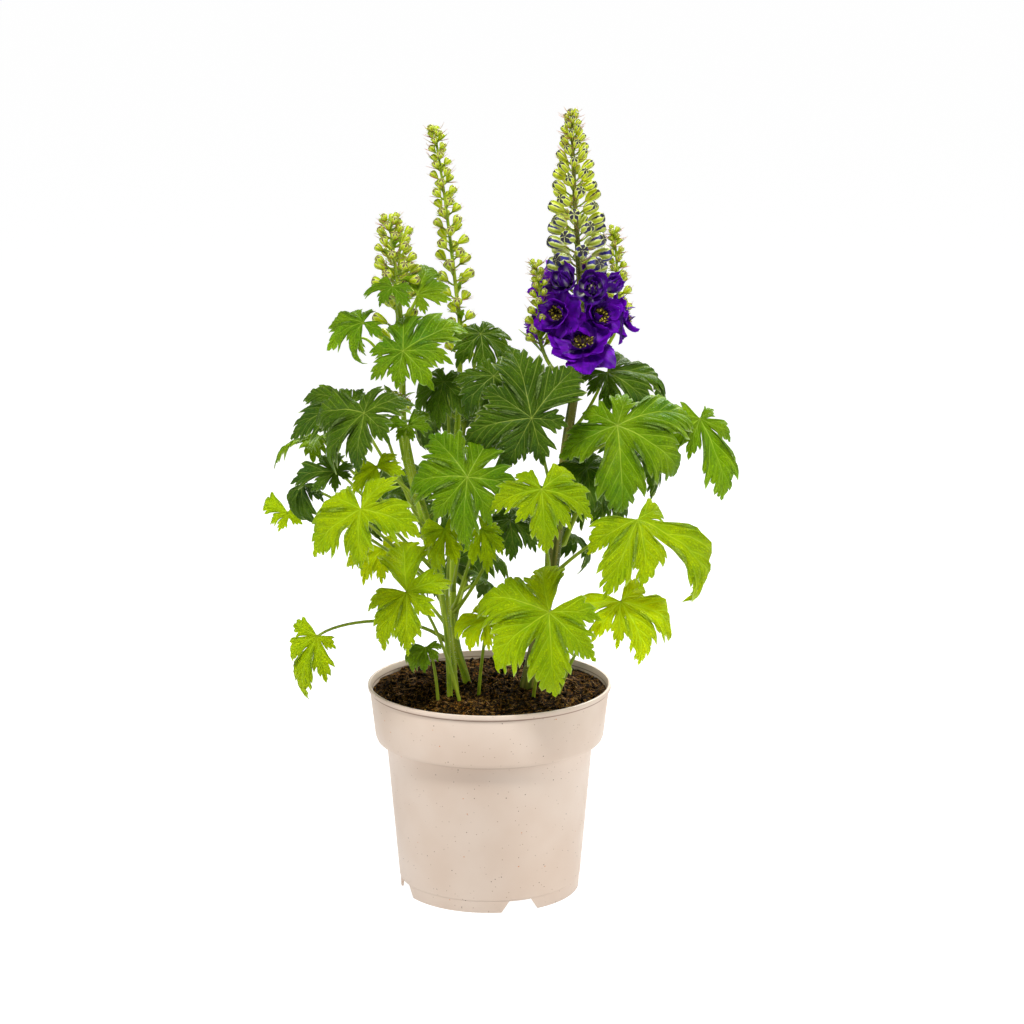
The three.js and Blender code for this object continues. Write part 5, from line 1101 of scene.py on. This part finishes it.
def bloomMesh(flower, materials, rng):
    normal, down, right = facing(*flower["face"])
    hub = Vector(flower["hub"])
    sheets = bmesh.new()
    for whorl in petal["whorls"][:2 if flower.get("whorls") == 1 else 3]:
        for number in range(whorl["count"]):
            addPetal(sheets, flower, whorl, number, rng)
    bm = thickened(sheets, petal["thickness"], materials)
    back = (up - normal).normalized()
    foot = hub - normal * spur["foot"]
    points = [hub - normal * 0.5, foot + back * spur["climb"] - normal, foot + back * spur["length"]]
    tube(bm, bezier(points, len(spur["radii"]) - 1), spur["radii"], spur["sides"], 2)
    behind, length, width = spur["cup"]
    addBud(bm, hub - normal * behind, normal, length, width, "drop", 2)
    if "eye" not in flower:
        for number in range(opening["count"]):
            angle = number * goldenAngle
            out = down * math.cos(angle) + right * math.sin(angle)
            path = [hub + normal * high + out * wide for high, wide in opening["spots"]]
            tube(bm, path, opening["radii"], 5, 3)
    return bm


# Tongues: the dark petals of the eye. Dome gives their foot's height, their rise and how far they arch over.
eye = {"grow": 1.15, "tongues": 5, "turn": 0.3, "spread": (0.25, 0.35), "reach": (0.18, 0.72),
       "dome": (2, 4.6, 1.9), "ripple": 0.9, "stamens": 16, "stamenReach": (0.25, 0.6),
       "stamenTop": (5.6, 7.2), "filament": 0.3, "anther": (0.45, 0.72, 0.4), "antherHalf": 0.9,
       "hairs": 90, "hairLength": (1.2, 2.6), "hairRadii": (0.22, 0.06)}


def eyeMesh(flower, materials, rng):
    normal, down, right = facing(*flower["face"])
    hub = Vector(flower["hub"])
    size = flower["eye"] * eye["grow"]
    foot, rise, arch = eye["dome"]
    inner, outer = eye["reach"]

    def way(angle):
        return down * math.cos(angle) + right * math.sin(angle)

    sheets = bmesh.new()
    for number in range(eye["tongues"]):
        middle = 2 * math.pi * number / eye["tongues"] + eye["turn"]

        def place(across, along):
            s = 1 - 2 * across
            angle = middle + s * (eye["spread"][0] + eye["spread"][1] * along)
            reach = size * (inner + outer * along)
            lift = foot + rise * math.sin(along * arch) + eye["ripple"] * math.sin(7 * s + number) * along
            return hub + way(angle) * reach + normal * lift

        patch(sheets, 5, 5, place, lambda across, along: (across, along))
    bm = thickened(sheets, petal["thickness"], materials)
    for number in range(eye["stamens"]):
        out = way(number * goldenAngle)
        near, far = eye["stamenReach"]
        reach = size * (near + far * math.sqrt((number + 0.5) / eye["stamens"]))
        top = hub + out * reach + normal * rng.uniform(*eye["stamenTop"])
        path = bezier([hub + normal * 2 + out * 1.2, hub + normal * 5.5 + out * reach * 0.4, top], 4)
        tube(bm, path, [eye["filament"]] * 5, 4, 0)
        lean = (out + normal * rng.uniform(0.2, 1)).normalized() * eye["antherHalf"]
        tube(bm, [top - lean, top, top + lean], eye["anther"], 6, 1)
    for _ in range(eye["hairs"]):
        angle, share = rng.uniform(0, 2 * math.pi), rng.uniform(0.3, 0.95)
        out = way(angle)
        root = hub + out * size * share + normal * (foot + rise * math.sin((share - inner) / outer * arch))
        tip = root + (normal + out * rng.uniform(-1, 1)) * rng.uniform(*eye["hairLength"])
        tube(bm, [root, tip], eye["hairRadii"], 3, rng.choice((0, 0, 1)))
    return bm


bloomSkins = [outerPetal, shadedInnerPetal, spurSkin, creamSkin]
openingSkins = [youngPetal, youngPetal, spurSkin, creamSkin]
eyeSkins = [beeSkin, antherSkin, creamSkin]
for number, (name, flower) in enumerate(flowers.items()):
    rng = random.Random(500 + number)
    skins = bloomSkins if "eye" in flower else openingSkins
    addPiece(bloomMesh(flower, skins, rng), name + "_fine", skins, name)
    if "eye" in flower:
        eyeName = name.replace("flower", "eye")
        addPiece(eyeMesh(flower, eyeSkins, rng), eyeName + "_fine", eyeSkins, eyeName)
print("stage: flowers")

# The stems with all that they carry

# By number: 0 stem, 1 violet bud, 2 green bud, 3 bract, 4 to 6 leaf and its rim, 7 hair, 8 older stem.
stemSkins = [stemSkin, violetBud, greenBud, bractSkin, upperFace["middle"], underFace["middle"], leafRim,
             hairSkin, thickSkin]


def stemPiece(cadNode, rods, spikeNames):
    rng = random.Random(len(cadNode))
    sheets = bmesh.new()
    held = [readLeaf(leaf) for name in rods for leaf in stemLeaves.get(name, [])]
    for number, leaf in enumerate(held):
        addBlade(sheets, leaf, 60 + len(cadNode) + number, 4)
    for name in rods:
        if name in leafletSets:
            addLeaflets(sheets, leafletSets[name], 4, rng)
    bm = thickened(sheets, blade["thickness"], stemSkins, 1, 2)
    for leaf in held:
        addLeafStalk(bm, leaf, 0)
    for name in rods:
        thick = name == "main"
        addStem(bm, name, 8 if thick else 0, stemLook["thickSides" if thick else "sides"], 7, rng)
    for name in spikeNames:
        main = name == "main"
        addSpike(bm, name, "barrel" if main else "drop", (0, 1 if main else 2, 3), rng)
    if cadNode == "stem_main":
        for flower in flowers.values():
            normal = facing(*flower["face"])[0]
            end = Vector(flower["hub"]) - normal * stemLook["flowerBack"]
            at, _ = stemAt("main", flower["low"])
            path = bezier([at, end - normal * stemLook["flowerBend"], end], 6)
            tube(bm, path, [stemLook["flowerStalk"]] * len(path), 8, 0)
    addPiece(bm, cadNode + "_fine", stemSkins, cadNode)


stemPiece("stem_main", ("main", "sideLeft", "sideRight"), ("main", "sideLeft", "sideRight"))
stemPiece("stem_middle", ("middle",), ("middleLow", "middleHigh"))
stemPiece("stem_left", ("left",), ("left",))
stemPiece("stem_back_left", ("backLeft",), ("backLeft",))
stemPiece("shoot_young", ("young",), ("young",))
print("stage: stems")

# Pot

pot = {"height": 165, "rimRadius": 95, "lipWidth": 2, "lipHeight": 3.2, "lipProud": 1,
       "lipUnder": (0.3, 3.6), "lipFoot": 4, "lipInside": 5, "collarHeight": 40, "collarFootRadius": 89.5,
       "collarUnder": (1.2, 0.8), "shoulderRadius": 81, "shoulderDrop": 4, "insideStep": 1,
       "heelRadius": 71.5, "heelStep": 0.4, "footRadius": 70.5, "footHeight": 10, "wall": 1.8, "floor": 2,
       "notchAngles": (-70, 20, 110, 200), "notchFoot": 31, "notchTop": 18, "notchHeight": 9,
       "notchDeep": (13, 5), "drainRadius": 5, "drainCircle": 58, "steps": 128, "edge": 0.35}


def potRadiusAt(z):
    collarFoot = pot["height"] - pot["collarHeight"]
    if z >= collarFoot:
        rim = pot["rimRadius"] - pot["lipProud"]
        return lerp((pot["collarFootRadius"], rim), (z - collarFoot) / pot["collarHeight"])
    share = (z - pot["footHeight"]) / (collarFoot - pot["shoulderDrop"] - pot["footHeight"])
    return lerp((pot["heelRadius"], pot["shoulderRadius"]), share)


def potProfile():
    top, foot, wall, heel = pot["height"], pot["footHeight"], pot["wall"], pot["heelStep"]
    collarFoot = top - pot["collarHeight"]
    shoulder = collarFoot - pot["shoulderDrop"]
    (underIn, underUp), (lipIn, lipDown), inner = pot["collarUnder"], pot["lipUnder"], pot["insideStep"]
    lipFoot, lipInside, bed = top - pot["lipFoot"], top - pot["lipInside"], foot + pot["floor"]
    return [
        (0, foot), (pot["footRadius"] - wall, foot), (pot["footRadius"] - wall, 0), (pot["footRadius"], 0),
        (pot["footRadius"] + heel, foot - heel), (pot["heelRadius"], foot + heel),
        (pot["shoulderRadius"], shoulder), (pot["collarFootRadius"] - underIn, shoulder + underUp),
        (pot["collarFootRadius"], collarFoot), (potRadiusAt(lipFoot), lipFoot),
        (potRadiusAt(lipFoot) - lipIn, top - lipDown), (pot["rimRadius"], top - pot["lipHeight"]),
        (pot["rimRadius"], top), (pot["rimRadius"] - pot["lipWidth"], top),
        (potRadiusAt(lipInside) - wall, lipInside),
        (potRadiusAt(collarFoot + inner) - wall, collarFoot + inner),
        (pot["shoulderRadius"] - wall, shoulder - inner), (potRadiusAt(bed) - wall, bed), (0, bed),
    ]


def potCutters():
    # Blocks for the notches of the foot ring, and rods for the drainage holes.
    bm = bmesh.new()
    inside, outside = pot["notchDeep"]
    for degrees in pot["notchAngles"]:
        turn = Matrix.Rotation(math.radians(degrees), 4, "Z")
        for v in bmesh.ops.create_cube(bm, size=1)["verts"]:
            high = v.co.z > 0
            far = pot["footRadius"] + (outside if v.co.x > 0 else -inside)
            wide = pot["notchTop" if high else "notchFoot"]
            v.co = turn @ Vector((far, v.co.y * wide, pot["notchHeight"] if high else -1))
        middle = turn @ Vector((pot["drainCircle"], 0, pot["footHeight"] + 1))
        bmesh.ops.create_cone(bm, cap_ends=True, segments=24, radius1=pot["drainRadius"],
                              radius2=pot["drainRadius"], depth=6, matrix=Matrix.Translation(middle))
    bmesh.ops.recalc_face_normals(bm, faces=bm.faces[:])
    return meshObject("potCutters", bm)


def makePot():
    bm = bmesh.new()
    verts = [bm.verts.new((r, 0, z)) for r, z in potProfile()]
    edges = [bm.edges.new(pair) for pair in zip(verts, verts[1:])]
    bmesh.ops.spin(bm, geom=verts + edges, cent=(0, 0, 0), axis=(0, 0, 1), angle=2 * math.pi,
                   steps=pot["steps"], use_merge=True)
    bmesh.ops.remove_doubles(bm, verts=bm.verts[:], dist=0.001)
    bmesh.ops.recalc_face_normals(bm, faces=bm.faces[:])
    body, cutters = meshObject("potBody", bm), potCutters()
    cut = body.modifiers.new("notches", "BOOLEAN")
    cut.operation, cut.object, cut.solver = "DIFFERENCE", cutters, "EXACT"
    bevel = body.modifiers.new("softEdges", "BEVEL")
    bevel.width, bevel.segments = pot["edge"], 2
    bevel.limit_method, bevel.angle_limit = "ANGLE", math.radians(30)
    bm = applied(body, 35)
    for thing in (body, cutters):
        bpy.data.objects.remove(thing)
    for face in bm.faces:
        face.smooth = True
    addPiece(bm, "pot_moulded", [potSkin], "pot")


makePot()
print("stage: pot")

# Soil

soilLook = {"sectors": 120, "rings": 34, "relief": 2.3, "reliefLength": 9, "gap": 0.35, "crumbs": 1500,
            "crumbSizes": (0.5, 0.7, 0.9, 1.3, 2.2), "crumbScatter": (0.8, 1.3), "crumbRough": (0.7, 1.35),
            "crumbFlat": 0.75, "crumbLift": 0.2, "crumbMargin": 3, "fibres": 260, "fibreMargin": 8,
            "fibreLength": (3, 9), "fibreThickness": (0.12, 0.3), "fibreLift": (0.1, 1.2)}


def soilHeight(x, y):
    share = min(1, math.hypot(x, y) / pot["rimRadius"])
    mound = lerp((soil["crown"], soil["edge"]), share * share)
    lumps = math.sin(x / 7.1 + 1.3 * math.sin(y / 11)) * math.cos(y / 6.3 + 0.8 * math.sin(x / 9))
    rough = noise.fractal(Vector((x, y, 0)) / soilLook["reliefLength"], 0.9, 2.1, 5) * soilLook["relief"]
    return mound + soil["lump"] * lumps * (1 - 0.6 * share) + rough * (1 - 0.5 * share ** 4)


def makeSoil():
    rng = random.Random(90)
    bm = bmesh.new()
    bed = pot["footHeight"] + pot["floor"] + 0.3
    shoulder = pot["height"] - pot["collarHeight"] - pot["shoulderDrop"]
    clear = pot["wall"] + soilLook["gap"]
    topRadius = potRadiusAt(soil["edge"]) - clear
    rings = [(0, bed), (pot["heelRadius"] - clear, bed), (pot["shoulderRadius"] - clear - 0.2, shoulder - 1),
             (pot["collarFootRadius"] - clear - 0.2, shoulder + pot["shoulderDrop"] + 1.5),
             (topRadius, soil["edge"] - 3)]
    rings += [(topRadius * (1 - k / soilLook["rings"]), None) for k in range(soilLook["rings"] + 1)]

    def place(across, along):
        radius, z = rings[round(along * (len(rings) - 1))]
        angle = 2 * math.pi * across
        x, y = radius * math.cos(angle), radius * math.sin(angle)
        return Vector((x, y, soilHeight(x, y) if z is None else z))

    def anywhere(margin):
        radius, angle = (topRadius - margin) * math.sqrt(rng.random()), rng.uniform(0, 2 * math.pi)
        return radius * math.cos(angle), radius * math.sin(angle)

    patch(bm, soilLook["sectors"], len(rings) - 1, place, lambda across, along: (across, along), 0)
    for _ in range(soilLook["crumbs"]):
        x, y = anywhere(soilLook["crumbMargin"])
        size = rng.choice(soilLook["crumbSizes"]) * rng.uniform(*soilLook["crumbScatter"])
        ball = bmesh.ops.create_icosphere(bm, subdivisions=1, radius=size)["verts"]
        for v in ball:
            v.co = v.co * rng.uniform(*soilLook["crumbRough"])
            v.co.z *= soilLook["crumbFlat"]
        lift = size * soilLook["crumbLift"]
        bmesh.ops.translate(bm, verts=ball, vec=(x, y, soilHeight(x, y) + lift))
    for _ in range(soilLook["fibres"]):
        x, y = anywhere(soilLook["fibreMargin"])
        heading, length = rng.uniform(0, 2 * math.pi), rng.uniform(*soilLook["fibreLength"])
        spots = []
        for i in range(4):
            heading += rng.uniform(-0.5, 0.5)
            spots.append(Vector((x, y, soilHeight(x, y) + rng.uniform(*soilLook["fibreLift"]))))
            x, y = x + math.cos(heading) * length / 3, y + math.sin(heading) * length / 3
        tube(bm, spots, [rng.uniform(*soilLook["fibreThickness"])] * len(spots), 3, 1)
    addPiece(bm, "soil_compost", [soilSkin, fibreSkin], "soil")


makeSoil()
print("stage: soil")
